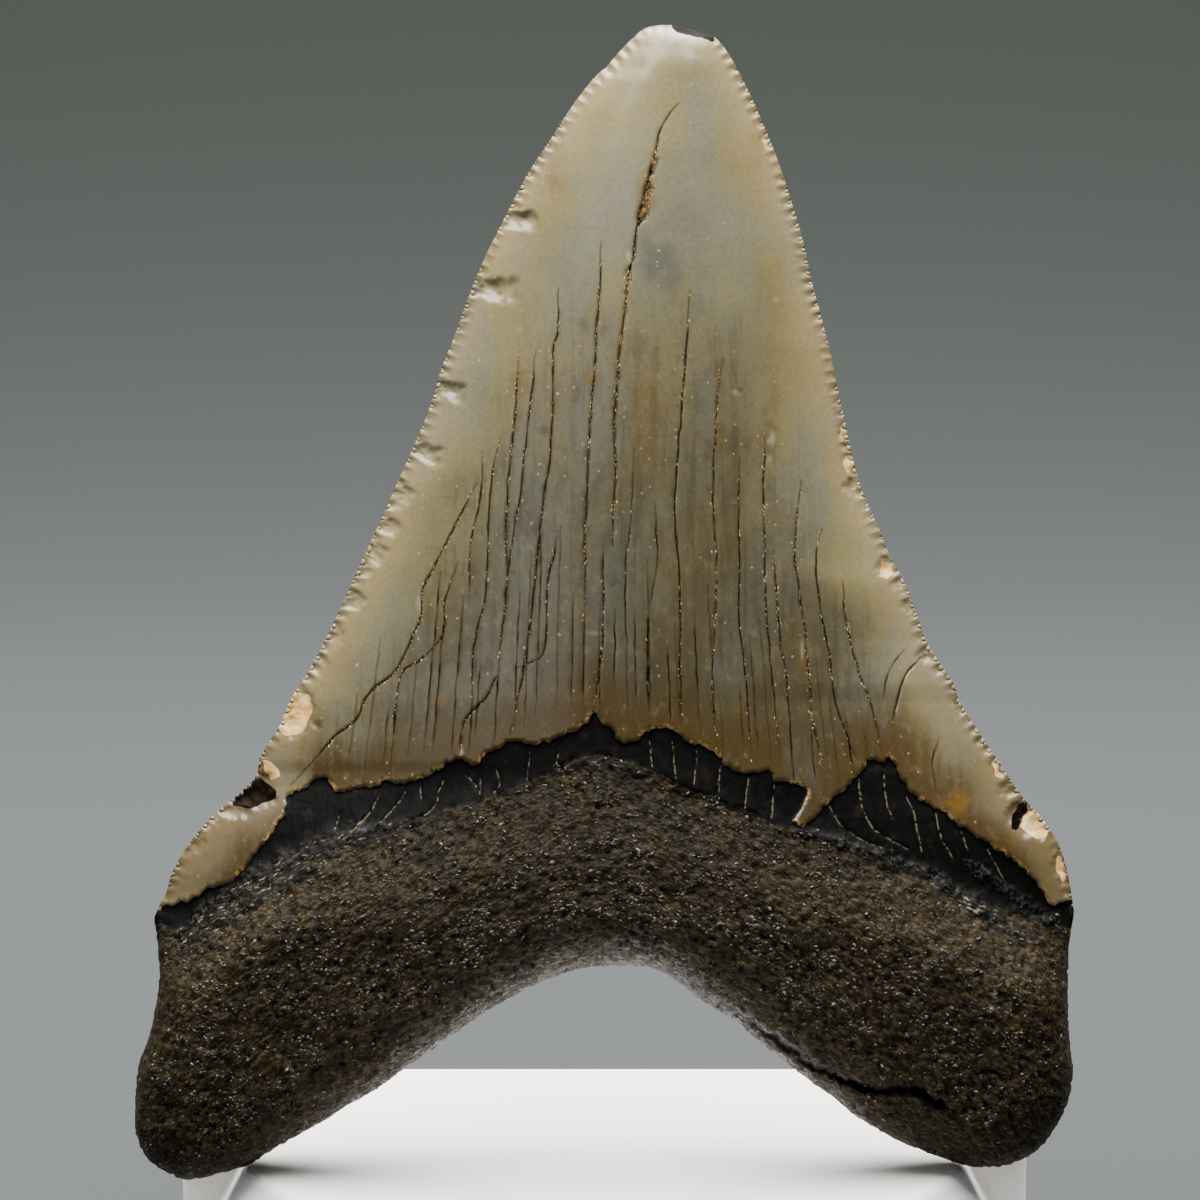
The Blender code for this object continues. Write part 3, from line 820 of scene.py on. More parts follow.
def signed_distance(points, line, region):
    """Distance to a line, above 0 inside the region that it bounds."""
    drawn = Drawn([(line, np.ones(len(line)), 0.0)])
    distance = drawn.near(points)[0]
    return np.where(within(points, region), distance, -distance)


def region_below(line):
    return np.vstack([[60, line[0][1]], line, [1150, line[-1][1]], [1150, 1300], [60, 1300]])


def region_above(line):
    return np.vstack([[60, line[0][1]], line, [1150, line[-1][1]], [1150, -60], [60, -60]])


def scoops(chips, across, down, rim):
    """Depth lost to the chips, with the stepped ripples of a shell-like break."""
    total = np.zeros(len(across))
    uneven = lumps(across, down, 8, 0.5, 14.5) + lumps(across, down, 17, 0.4, 17.5)
    for chip_across, chip_down, half_width, half_height, depth in chips:
        reach = np.hypot((across - chip_across) / half_width, (down - chip_down) / half_height)
        reach = np.maximum(reach + uneven, 0)
        bowl = np.clip(1 - reach**2, 0, 1) ** 0.6
        ripple = 0.18 * np.cos(reach * 14) * (reach < 1)
        total = np.maximum(total, depth * (bowl + ripple * bowl))
    return total * np.clip(0.35 + rim / 8, 0, 1)


def stain(across, down, spots):
    """How strongly each point is stained, with a soft and uneven edge."""
    total = np.zeros(len(across))
    uneven = lumps(across, down, 16, 0.45, 33.5)
    for spot_across, spot_down, half_width, half_height, strength in spots:
        reach = np.hypot((across - spot_across) / half_width, (down - spot_down) / half_height)
        total = np.maximum(total, strength * smoothstep(1.15 - reach + uneven))
    return total


class FaceFields:
    """What holds at every point of one face: distances to the drawn lines, and the depth."""

    def __init__(self, points, side):
        self.side = side
        across, down = self.across, self.down = points.T
        self.rim, numbers = rim_distance(points)
        self.rim = np.maximum(self.rim, 0)
        on_cutting = numbers < len(cutting)
        self.edge_near = np.where(on_cutting, self.rim, 400.0)
        self.edge_along = numbers * EDGE_STEP * on_cutting
        left, right = (read_off(line, down) for line in side_lines())
        self.sideways = np.clip(np.abs(2 * across - left - right) / np.maximum(right - left, 1), 0, 1)
        if side == FRONT:
            self.into_enamel = signed_distance(points, enamel_border, region_above(enamel_border))
            self.into_root = signed_distance(points, root_border, region_below(root_border))
            self.read_cracks(points)
        else:
            line = smooth_curve(BACK_BORDER, BORDER_STEP)
            self.into_enamel = signed_distance(points, line, region_above(line))
            self.into_root = -self.into_enamel
            self.crack = self.sunk = self.mineral = self.pale = self.fibre = np.zeros(len(points))
        for name, spots in STAINS.items():
            setattr(self, name, stain(across, down, spots) if side == FRONT else np.zeros(len(points)))
        self.depth = self.large_forms() + self.small_forms()
        self.depth = np.maximum(self.depth, THINNEST * np.clip(self.rim, 0, 1))

    def read_cracks(self, points):
        distance, nearest = cracks.near(points)
        self.crack = np.clip(1.15 - distance / np.maximum(cracks.widths[nearest], 0.8), 0, 1)
        self.crack *= np.clip(cracks.widths[nearest] + 0.1, 0.35, 1) * (self.into_enamel > 0)
        self.sunk = self.crack * np.clip(cracks.widths[nearest] / 1.6, 0, 1) ** 2
        self.mineral = cracks.shares[nearest] * np.clip(1.3 - distance / np.maximum(cracks.widths[nearest], 1.3), 0, 1)
        distance, nearest = pale_cracks.near(points)
        self.pale = np.clip(1.2 - distance / pale_cracks.widths[nearest], 0, 1) * (self.into_enamel < 0)
        distance, nearest = fibres.near(points)
        self.fibre = np.exp(-((distance / fibres.widths[nearest]) ** 2)) * (self.into_enamel < -2)

    def large_forms(self):
        across, down, rim, sideways = self.across, self.down, self.rim, self.sideways
        crown, root = (CROWN_FRONT, ROOT_FRONT) if self.side == FRONT else (CROWN_BACK, ROOT_BACK)
        blade = np.minimum((1 - sideways**2) ** 1.15, rim / 12)
        rounded = np.sqrt(1 - (1 - np.clip(rim / ROOT_EDGE_ROUNDING, 0, 1)) ** 2.3)
        rounded *= 1 - LOBE_THINNING * sideways**1.8
        if self.side == FRONT:
            swell = smoothstep((down - read_off(ROOT_BORDER, across) + 20) / ROOT_SWELL_RUN)
        else:
            swell = smoothstep((down - read_off(BACK_BORDER, across) + 8) / BACK_SWELL_RUN)
        depth = read_off(crown, down) * blade * (1 - swell) + read_off(root, down) * rounded * swell
        if self.side == FRONT:
            boss_across, boss_down, half_width, half_height, height = BOSS
            from_boss = ((across - boss_across) / half_width) ** 2
            from_boss += ((down - boss_down) / half_height) ** 2
            depth += height * np.exp(-from_boss) * rounded
            below = smoothstep((down - read_off(ARCH_PARTING, across)) / 9 + 0.5)
            depth -= PARTING_SETBACK * below * read_off(PARTING_FADE, across) * np.clip(rim / 30, 0, 1)
        return depth

    def small_forms(self):
        across, down = self.across, self.down
        inner = np.clip(self.rim / 30, 0, 1)
        self.root = np.maximum(smoothstep(self.into_root / 5 + 0.4), self.fibre)
        enamel = smoothstep(self.into_enamel / STEP_WIDTH)
        depth = ENAMEL_LEDGE * enamel * np.clip(self.rim / 14, 0, 1)
        depth += lumps(across, down, 62, 3.2, 1.5) * self.root * inner
        depth += lumps(across, down, 24, 1.8, 4.5) * self.root * inner
        depth += lumps(across, down, 110, 1.2, 6.5, 2.0) * enamel * inner
        depth += lumps(across, down, 15, 0.2, 2.5, 9.0) * enamel * inner
        if self.side == FRONT:
            depth -= CRACK_DEPTH * self.sunk + 1.4 * self.pale
            depth += FIBRE_HEIGHT * self.fibre * (1 + lumps(across, down, 5, 1.2, 12.5))
            apart = Drawn([(arch_parting, np.ones(len(arch_parting)), 0.0)])
            near = apart.near(np.column_stack([across, down]))[0]
            self.parting = np.exp(-((near / PARTING_HALF_WIDTH) ** 2))
            depth -= PARTING_DEPTH * self.parting * np.clip(self.rim / 12, 0, 1)
            self.scoop = scoops(FRESH_CHIPS, across, down, self.rim)
            depth -= np.maximum(self.scoop, scoops(OLD_CHIPS, across, down, self.rim))
        else:
            self.parting = self.scoop = np.zeros(len(across))
        return depth


fields = {side: FaceFields(made[0], side) for side, made in faces_of_tooth.items()}
print("deepest front, mm:", round(fields[FRONT].depth.max() * SHEET_UNIT / MM, 1))

# %% [markdown]
# ## Joining the faces
#
# Both sheets of triangles become one closed skin. What was worked out at each point goes onto the
# mesh as named values, which the Geometry Nodes and the materials read later.

# %% Join both faces into one skin
ENAMEL, BAND, ROOT, DENTINE, NOTCH = range(5)
PATCH_SLOTS = {"dentine": DENTINE, "notch": NOTCH}
WRITTEN = (
    "edge_near", "edge_along", "into_enamel", "into_root", "crack", "mineral", "pale", "root", "parting", "scoop",
    "fibre", "rim",
)
GRAIN_SLOPE = 0.5
GRAIN_KINK = 60.0


def join_faces():
    """Corners and triangles of the skin, the slot of each triangle, and where each corner comes from."""
    corners, triangles, slots, sources = [], [], [], []
    rim_corner = {}
    for side, (flat, made, rim_number) in faces_of_tooth.items():
        found = fields[side]
        bend = TIP_BACKWARD_BEND * np.clip((740 - flat[:, 1]) / 715, 0, 1) ** 2
        depth = np.where(rim_number >= 0, 0, found.depth)
        forward = side * depth - bend
        closer = 1 - forward * (side == FRONT) * SHEET_UNIT / CAMERA_DISTANCE
        places = picture_middle + (flat - picture_middle) * closer[:, None]
        number = np.empty(len(flat), int)
        for index, rim in enumerate(rim_number):
            if rim >= 0 and rim in rim_corner:
                number[index] = rim_corner[rim]
                continue
            number[index] = len(corners)
            if rim >= 0:
                rim_corner[rim] = len(corners)
            corners.append((places[index, 0], places[index, 1], forward[index]))
            sources.append((side, index))
        faces = number[made]
        triangles.append(faces if side == FRONT else faces[:, ::-1])
        slots.append(slots_of(flat[made].mean(axis=1), side))
    return np.array(corners), np.vstack(triangles), np.concatenate(slots), sources


def slots_of(centres, side):
    if side == BACK:
        line = smooth_curve(BACK_BORDER, BORDER_STEP)
        return np.where(within(centres, region_above(line)), ENAMEL, ROOT)
    slots = np.where(within(centres, region_above(enamel_border)), ENAMEL, BAND)
    slots[within(centres, region_below(root_border))] = ROOT
    for finish, loop in patches:
        slots[within(centres, loop)] = PATCH_SLOTS[finish]
    return slots


def spread_back(name, sources):
    """A value of both faces in the order of the skin's corners."""
    return np.array([getattr(fields[side], name)[index] for side, index in sources])


def write_value(mesh, name, values):
    kind = "FLOAT" if values.ndim == 1 else "FLOAT_VECTOR"
    layer = mesh.attributes.new(name, kind, "POINT")
    layer.data.foreach_set("value" if values.ndim == 1 else "vector", values.astype(np.float32).ravel())


def make_skin():
    corners, triangles, slots, sources = join_faces()
    mesh = bpy.data.meshes.new("tooth_skin")
    mesh.from_pydata(stand_up(*corners.T).tolist(), [], triangles.tolist())
    shell = bmesh.new()
    shell.from_mesh(mesh)
    bmesh.ops.recalc_face_normals(shell, faces=shell.faces)
    shell.to_mesh(mesh)
    shell.free()
    zone = mesh.attributes.new("zone", "INT", "FACE")
    zone.data.foreach_set("value", slots.astype(np.int32))
    mesh.shade_smooth()
    for name in WRITTEN + tuple(STAINS):
        write_value(mesh, name, spread_back(name, sources))
    across, down, forward = corners.T
    write_value(mesh, "sheet", np.column_stack([across, down, forward]) / 100)
    from_middle = np.sqrt((across - 604) ** 2 + GRAIN_KINK**2)
    write_value(mesh, "grain", np.column_stack([across, down - GRAIN_SLOPE * from_middle, forward]) / 100)
    skin = bpy.data.objects.new("tooth_skin", mesh)
    bpy.context.scene.collection.objects.link(skin)
    return skin


skin = make_skin()
print("skin:", len(skin.data.polygons), "triangles")

# %% [markdown]
# ## Enamel
#
# Fossil enamel has taken up minerals from the ground. It is a cool grey-olive with soft ochre
# streaks down it, paler and creamier where it thins at the edges, and amber just above the band.
# The cracks are brown-black and carry tan grains. Part of the grey veil is a painted reflection, the
# serration crests carry painted highlights and their gullets painted shade, and the golden lip over
# the band is partly a painted highlight. All of it is built from noise that is stretched down the
# tooth and from the distances that were written on the skin.


# %% The enamel's finish
def specks(nodes, place, scale, share, size):
    """Small round spots in a given share of evenly scattered cells."""
    values = {"Vector": place, "Scale": scale}
    cells = nodes.add("ShaderNodeTexVoronoi", None, values, output="Distance")
    tint = nodes.add("ShaderNodeSeparateXYZ", None, {0: cells.other("Color")}, output="X")
    return cells.ramped(size, size * 0.4) * tint.maths("GREATER_THAN", 1 - share)


def relief_normal(nodes, shader, height, strength, distance):
    """Feeds the shader's normal with fine relief."""
    values = {"Height": height, "Strength": strength, "Distance": distance}
    nodes.feed(shader.inputs["Normal"], nodes.add("ShaderNodeBump", None, values))


def enamel_finish():
    material, nodes, shader = start_finish("enamel", 0.3)
    sheet = nodes.painted("sheet", "Vector")
    edge = nodes.painted("edge_near")
    border = nodes.painted("into_enamel")
    crack = nodes.painted("crack")
    down = nodes.add("ShaderNodeSeparateXYZ", None, {0: sheet}, output="Y")
    clouds = nodes.cloudy(sheet, 1.1, 4.0)
    veil_and_reflection = nodes.cloudy(nodes.stretched(sheet, (1.5, 0.7, 1.0)), 1.0, 3.0)
    broad = nodes.cloudy(nodes.stretched(sheet, (3.4, 0.55, 2.0)), 1.0, 3.0, 0.55)
    streaks = nodes.cloudy(nodes.stretched(sheet, (16.0, 0.7, 5.0)), 1.0, 3.0, 0.55)
    fine = nodes.cloudy(sheet, 24.0, 3.0, 0.6)
    inner = (edge + (clouds - 0.5) * 70).ramped(6.0, 130.0)
    low = down.ramped(1.4, 5.4) * inner
    lowest = (down + (broad - 0.5) * 1.2).ramped(4.6, 7.0) * inner
    tone = nodes.mix(low, colour(143, 132, 91), colour(92, 85, 60))
    tone = nodes.mix(lowest * 0.8, tone, colour(68, 61, 40))
    # Grey veil: partly the enamel's own grey tone and partly a painted reflection of the room.
    grey_and_reflection = nodes.mix(low, colour(124, 125, 111), colour(84, 85, 73))
    tone = nodes.mix(veil_and_reflection.ramped(0.42, 0.6) * 0.6, tone, grey_and_reflection)
    yellow = edge.ramped(14.0, 32.0) * edge.ramped(84.0, 40.0) * clouds.ramped(0.4, 0.6)
    tone = nodes.mix(yellow * down.ramped(5.0, 2.0) * 0.5, tone, colour(148, 130, 66))
    mottle = nodes.cloudy(nodes.stretched(sheet, (5.0, 2.2, 3.0)), 1.0, 4.0, 0.6)
    tone = nodes.mix(broad.ramped(0.48, 0.66) * mottle.ramped(0.35, 0.6) * low * 0.5, tone, colour(92, 75, 42))
    tone = nodes.mix(mottle.ramped(0.5, 0.62) * low * 0.4, tone, colour(66, 62, 46))
    tone = nodes.mix(mottle.ramped(0.46, 0.36) * low * 0.3, tone, colour(104, 98, 72))
    tone = nodes.mix(clouds.ramped(0.52, 0.66) * low * 0.45, tone, colour(88, 88, 74))
    tone = nodes.mix(streaks.ramped(0.52, 0.68) * low * 0.4, tone, colour(62, 50, 29))
    tone = nodes.mix(streaks.ramped(0.46, 0.3) * low * 0.25, tone, colour(94, 90, 68))
    tone = nodes.mix(nodes.painted("blue") * clouds.ramped(0.32, 0.6) * 0.6, tone, colour(74, 76, 74))
    tone = nodes.mix(down.ramped(6.8, 8.4) * edge.ramped(130.0, 60.0) * 0.7, tone, colour(106, 92, 62))
    rim = nodes.mix(down.ramped(5.5, 8.0), colour(172, 152, 112), colour(118, 100, 64))
    tone = nodes.mix(edge.ramped(46.0, 0.0) * 0.55, tone, rim)
    grime = nodes.cloudy(nodes.stretched(sheet, (10.0, 7.0, 9.0)), 1.0, 5.0, 0.7)
    tone = nodes.mix(grime.ramped(0.54, 0.7) * low * 0.5, tone, colour(60, 52, 34))
    tone = nodes.mix(grime.ramped(0.46, 0.3) * low * 0.4, tone, colour(124, 112, 78))
    above_band = (border + (streaks - 0.5) * 60).ramped(78.0, 6.0) * broad.ramped(0.18, 0.46) * inner.ramped(0.0, 0.3)
    tone = nodes.mix(above_band * grime.ramped(0.2, 0.5) * 0.95, tone, colour(72, 56, 22))
    tone = nodes.mix(fine.ramped(0.6, 0.38) * 0.12, tone, colour(40, 36, 26))
    tone = nodes.mix(specks(nodes, sheet, 12.0, 0.3, 0.2) * mottle.ramped(0.44, 0.56) * 0.6, tone, colour(186, 166, 118))
    tone = nodes.mix(specks(nodes, sheet, 5.0, 0.12, 0.11) * fine.ramped(0.4, 0.55) * 0.7, tone, colour(214, 190, 136))
    ochre = nodes.painted("ochre") * (grime + mottle).ramped(0.84, 1.06)
    tone = nodes.mix(ochre * 0.8, tone, colour(114, 84, 12))
    tone = nodes.mix(nodes.painted("dark") * 0.75, tone, colour(46, 36, 24))
    tone = nodes.mix(nodes.painted("white") * 0.55, tone, colour(190, 178, 150))
    tone = nodes.mix(nodes.painted("scoop").ramped(0.8, 5.0) * 0.22, tone, colour(190, 178, 150))
    # Painted highlights on the serration crests and painted shade in the gullets between them.
    crest = (nodes.painted("edge_along") * (2 * math.pi / SERRATION_PITCH)).maths("COSINE")
    painted_crest_highlights = crest.ramped(0.2, 0.9) * edge.ramped(10.0, 4.0) * clouds.ramped(0.44, 0.56)
    tone = nodes.mix(painted_crest_highlights * 0.6, tone, colour(206, 186, 140))
    painted_gullet_shade = crest.ramped(-0.3, -1.0) * edge.ramped(15.0, 3.0)
    tone = nodes.mix(painted_gullet_shade * 0.6, tone, colour(84, 68, 48))
    patchy = nodes.cloudy(sheet, 3.6, 3.0).ramped(0.5, 0.6)
    # The golden lip where the enamel ends over the band: partly its own colour, partly a painted highlight along the
    # ledge.
    lip_and_highlight = border.ramped(5.0, 0.8) * fine.ramped(0.42, 0.54) * patchy
    tone = nodes.mix(lip_and_highlight * 0.85, tone, colour(190, 148, 82))
    tone = nodes.mix(crack.ramped(0.02, 0.4) * 0.6, tone, colour(60, 43, 20))
    tone = nodes.mix(crack.ramped(0.42, 0.92), tone, colour(12, 9, 5))
    filling = nodes.painted("mineral").ramped(0.25, 0.9) * nodes.cloudy(sheet, 13.0, 3.0).ramped(0.46, 0.56)
    tone = nodes.mix(filling * 0.85, tone, colour(122, 92, 42))
    nodes.feed(shader.inputs["Base Color"], tone)
    nodes.feed(shader.inputs["Roughness"], 0.4 + fine * 0.2)
    nodes.feed(shader.inputs["Coat Weight"], crack.ramped(0.5, 0.1) * 0.6)
    relief_normal(nodes, shader, fine, 0.1, 0.0002)
    shader.inputs["Coat Roughness"].default_value = 0.22
    shader.inputs["Specular IOR Level"].default_value = 0.05
    return material


# %% [markdown]
# ## The bare band, the root and the broken places
#
# The band is almost black and still a little glossy, with fine upright wrinkles. The root is dark
# brown stone with rust, and it glitters with pale grains that lie along its grain. Painted shade
# darkens its upper part. Bare dentine is the colour of a peach.


# %% Finishes of the band, the root and the broken places
def band_finish():
    material, nodes, shader = start_finish("bare_band", 0.3)
    sheet = nodes.painted("sheet", "Vector")
    wrinkles = nodes.cloudy(nodes.stretched(sheet, (12.0, 6.0, 12.0)), 1.0, 4.0, 0.65)
    patches = nodes.cloudy(sheet, 5.0, 4.0)
    fine = nodes.cloudy(sheet, 22.0, 3.0)
    tone = nodes.mix(wrinkles.ramped(0.52, 0.75), colour(7, 7, 7), colour(20, 18, 15))
    tone = nodes.mix(patches.ramped(0.58, 0.7) * 0.4, tone, colour(44, 36, 25))
    tone = nodes.mix(nodes.painted("fibre") * fine.ramped(0.48, 0.6) * 0.6, tone, colour(78, 76, 70))
    pale = nodes.painted("pale").ramped(0.35, 0.9) * fine.ramped(0.42, 0.54)
    tone = nodes.mix(pale * 0.9, tone, colour(118, 110, 86))
    nodes.feed(shader.inputs["Base Color"], tone)
    nodes.feed(shader.inputs["Roughness"], 0.36 + wrinkles * 0.3)
    relief_normal(nodes, shader, wrinkles, 0.4, 0.0003)
    shader.inputs["Specular IOR Level"].default_value = 0.05
    return material


def root_finish():
    material, nodes, shader = start_finish("root_stone", 0.55)
    sheet = nodes.painted("sheet", "Vector")
    grain = nodes.painted("grain", "Vector")
    threads = nodes.cloudy(nodes.stretched(grain, (13.0, 16.0, 14.0)), 1.0, 5.0, 0.7)
    values = {"Vector": nodes.stretched(grain, (20.0, 27.0, 22.0)), "Scale": 1.0}
    crumbs = nodes.add("ShaderNodeTexVoronoi", None, values, output="Distance")
    shade = nodes.add("ShaderNodeSeparateXYZ", None, {0: crumbs.other("Color")}, output="X")
    rust = nodes.cloudy(sheet, 2.2, 5.0, 0.65)
    olive = nodes.cloudy(sheet, 3.1, 4.0, 0.6)
    tone = nodes.mix(threads.ramped(0.36, 0.64), colour(22, 18, 11), colour(66, 55, 34))
    tone = nodes.mix(rust.ramped(0.52, 0.66) * 0.45, tone, colour(60, 39, 17))
    tone = nodes.mix(rust.ramped(0.46, 0.34) * 0.5, tone, colour(20, 17, 12))
    tone = nodes.mix(olive.ramped(0.48, 0.64) * 0.5, tone, colour(48, 46, 31))
    tone = nodes.mix(shade.ramped(0.6, 1.0) * 0.45, tone, colour(92, 76, 46))
    tone = nodes.mix(shade.ramped(0.4, 0.1) * 0.5, tone, colour(13, 11, 7))
    tone = nodes.mix(crumbs.ramped(0.45, 0.8) * 0.5, tone, colour(8, 7, 4))
    fibre = nodes.painted("fibre")
    tone = nodes.mix(fibre.ramped(0.1, 0.5) * 0.85, tone, colour(13, 12, 10))
    strands = nodes.cloudy(nodes.stretched(grain, (9.0, 40.0, 20.0)), 1.0, 3.0, 0.6)
    tone = nodes.mix(fibre.ramped(0.2, 0.6) * strands.ramped(0.5, 0.66) * 0.8, tone, colour(62, 60, 54))
    tone = nodes.mix(fibre.ramped(0.1, 0.5) * strands.ramped(0.6, 0.68), tone, colour(146, 138, 112))
    # Painted shade: the upper root, where its swell faces the light, is darkened.
    high = nodes.add("ShaderNodeSeparateXYZ", None, {0: sheet}, output="Y").ramped(9.6, 8.0)
    tone = nodes.mix(high * 0.45, tone, colour(22, 19, 13))
    tone = nodes.mix(specks(nodes, sheet, 7.0, 0.1, 0.12) * 0.9, tone, colour(6, 5, 3))
    tone = nodes.mix(nodes.painted("parting").ramped(0.15, 0.6), tone, colour(5, 4, 3))
    nodes.feed(shader.inputs["Base Color"], tone)
    nodes.feed(shader.inputs["Roughness"], 0.75 - shade * 0.35)
    relief_normal(nodes, shader, threads - crumbs * 0.6, 1.0, 0.0003)
    shader.inputs["Specular IOR Level"].default_value = 0.07
    return material


def broken_finish(name, deep, pale, gloss):
    """Bare dentine, or the dark stain in a deep break."""
    material, nodes, shader = start_finish(name, 0.5)
    sheet = nodes.painted("sheet", "Vector")
    cloud = nodes.cloudy(sheet, 7.0, 4.0, 0.6)
    tone = nodes.mix(cloud.ramped(0.35, 0.65), deep, pale)
    nodes.feed(shader.inputs["Base Color"], tone)
    relief_normal(nodes, shader, cloud, 0.3, 0.0004)
    shader.inputs["Specular IOR Level"].default_value = gloss
    return material


SERRATION_PITCH = 12.0
finishes = {ENAMEL: enamel_finish(), BAND: band_finish(), ROOT: root_finish()}
finishes[DENTINE] = broken_finish("dentine", colour(222, 174, 96), colour(248, 214, 146), 0.2)
finishes[NOTCH] = broken_finish("notch_stain", colour(7, 5, 3), colour(34, 23, 15), 0.02)
print("finishes:", [finish.name for finish in finishes.values()])

# %% [markdown]
# ## Serrations and weathering by Geometry Nodes
#
# A shark's cutting edge is a row of fine, even teeth like a steak knife's. Each could be modelled,
# but they all follow one rule along the edge, so a Geometry Nodes tree pushes the skin in between
# them: a wave along the edge that fades out as it runs onto the face. The root was full of fine
# canals and has weathered along its grain, so the same tree pushes the root up and down in long
# ridges with small pits between them. At its end each zone of the skin takes its finish.


# %% A tree that wears the skin
def new_tree(name, inputs):
    """A Geometry Nodes tree with these number inputs, and wires from them."""
    tree = bpy.data.node_groups.new(name, "GeometryNodeTree")
    tree.interface.new_socket("Geometry", in_out="INPUT", socket_type="NodeSocketGeometry")
    tree.interface.new_socket("Geometry", in_out="OUTPUT", socket_type="NodeSocketGeometry")
    for label, value in inputs.items():
        kind = "NodeSocketInt" if isinstance(value, int) else "NodeSocketFloat"
        tree.interface.new_socket(label, in_out="INPUT", socket_type=kind).default_value = value
    nodes = Nodes(tree)
    start = tree.nodes.new("NodeGroupInput")
    wires = {socket.name: Wire(nodes, socket) for socket in start.outputs if socket.name}
    return tree, nodes, wires


def named(nodes, name, kind="FLOAT"):
    return nodes.add("GeometryNodeInputNamedAttribute", {"data_type": kind}, {"Name": name})


def close_tree(nodes, geometry, zones):
    """Ends the tree with real geometry, on which each zone has its finish."""
    geometry = nodes.add("GeometryNodeRealizeInstances", None, {"Geometry": geometry})
    zone = named(nodes, "zone", "INT")
    same = {"data_type": "INT", "operation": "EQUAL"}
    for number, finish in zones.items():
        values = {"Geometry": geometry, "Material": finish}
        if len(zones) > 1:
            values["Selection"] = nodes.add("FunctionNodeCompare", same, {2: zone, 3: number})
        geometry = nodes.add("GeometryNodeSetMaterial", None, values)
    end = nodes.tree.nodes.new("NodeGroupOutput")
    nodes.feed(end.inputs[0], geometry)


def run_tree(obj, tree, values):
    """The mesh that the tree makes of the object, which keeps no modifier."""
    modifier = obj.modifiers.new(tree.name, "NODES")
    modifier.node_group = tree
    for item in tree.interface.items_tree:
        if item.item_type == "SOCKET" and item.in_out == "INPUT" and item.name in values:
            modifier[item.identifier] = values[item.name]
    graph = bpy.context.evaluated_depsgraph_get()
    evaluated = obj.evaluated_get(graph)
    mesh = bpy.data.meshes.new_from_object(evaluated, preserve_all_data_layers=True, depsgraph=graph)
    obj.modifiers.clear()
    return mesh


def wear_tree():
    inputs = {"Pitch": 0.0012, "Depth": 0.0003, "Reach": 0.0016, "Ridges": 0.0001, "Pits": 0.0001}
    tree, nodes, given = new_tree("wear", inputs)
    along = named(nodes, "edge_along") * SHEET_UNIT
    near = named(nodes, "edge_near") * SHEET_UNIT
    use = nodes.cloudy(named(nodes, "sheet", "FLOAT_VECTOR"), 2.2, 2.0)
    uneven = nodes.cloudy(named(nodes, "sheet", "FLOAT_VECTOR"), 4.0, 1.0) * given["Pitch"]
    wave = ((along + uneven) * (2 * math.pi) / given["Pitch"]).maths("COSINE")
    gullet = (0.5 - wave * 0.5) ** 1.6
    fade = (1 - near / given["Reach"]).clamped() ** 1.5
    fade = fade * (near / given["Reach"] * 5 + 0.15).clamped()
    down = nodes.add("ShaderNodeSeparateXYZ", None, {0: named(nodes, "sheet", "FLOAT_VECTOR")}, output="Y")
    fade = fade * down.ramped(0.32, 0.6)
    serration = gullet * fade * given["Depth"] * use.ramped(0.2, 0.6)
    grain = named(nodes, "grain", "FLOAT_VECTOR")
    ridges = nodes.cloudy(nodes.stretched(grain, (6.0, 8.0, 6.0)), 1.0, 3.0, 0.6) - 0.5
    fine = nodes.cloudy(nodes.stretched(grain, (16.0, 23.0, 20.0)), 1.0, 2.0, 0.6)
    lumpy = nodes.cloudy(nodes.stretched(grain, (9.0, 11.0, 10.0)), 1.0, 2.0, 0.5) - 0.5
    relief = (ridges + lumpy + fine - 0.5) * given["Ridges"] - fine.ramped(0.42, 0.28) * given["Pits"]
    inside = (named(nodes, "rim") / 25 + 0.3).clamped()
    distance = relief * inside * named(nodes, "root") - serration
    normal = nodes.add("GeometryNodeInputNormal")
    offset = nodes.add("ShaderNodeVectorMath", {"operation": "SCALE"}, {0: normal, "Scale": distance})
    moved = nodes.add("GeometryNodeSetPosition", None, {"Geometry": given["Geometry"], "Offset": offset})
    close_tree(nodes, moved, finishes)
    return tree


SERRATION_DEPTH = 3.2
SERRATION_REACH = 13.0
ROOT_RIDGES = 8.0
ROOT_PITS = 3.0
worn = {"Pitch": SERRATION_PITCH, "Depth": SERRATION_DEPTH, "Reach": SERRATION_REACH}
worn |= {"Ridges": ROOT_RIDGES, "Pits": ROOT_PITS}
skin.data = run_tree(skin, wear_tree(), {name: value * SHEET_UNIT for name, value in worn.items()})
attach(skin, "root")
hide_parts("tooth")
print("serrations along the edge:", round(len(cutting) * EDGE_STEP / SERRATION_PITCH))

# %% [markdown]
# ## Grains of mineral
#
# Sand from the sea floor is cemented to the root and sits in the cracks of the crown, as thousands
# of pale grains. Each could be a painted dot, but real grains catch the light one by one. A second
# tree scatters points over the skin, thickest where a written value is high, and puts a small
# uneven stone on each, lying along the grain of the root.


# %% Scatter the grains
def grain_finish(name, deep, pale, bright):
    material, nodes, shader = start_finish(name, 0.35)
    tint = nodes.painted("tint")
    tone = nodes.mix(tint.ramped(0.0, 0.8), deep, pale)
    tone = nodes.mix(tint.ramped(0.93, 0.99), tone, bright)
    nodes.feed(shader.inputs["Base Color"], tone)
    shader.inputs["Specular IOR Level"].default_value = 0.25
    return material


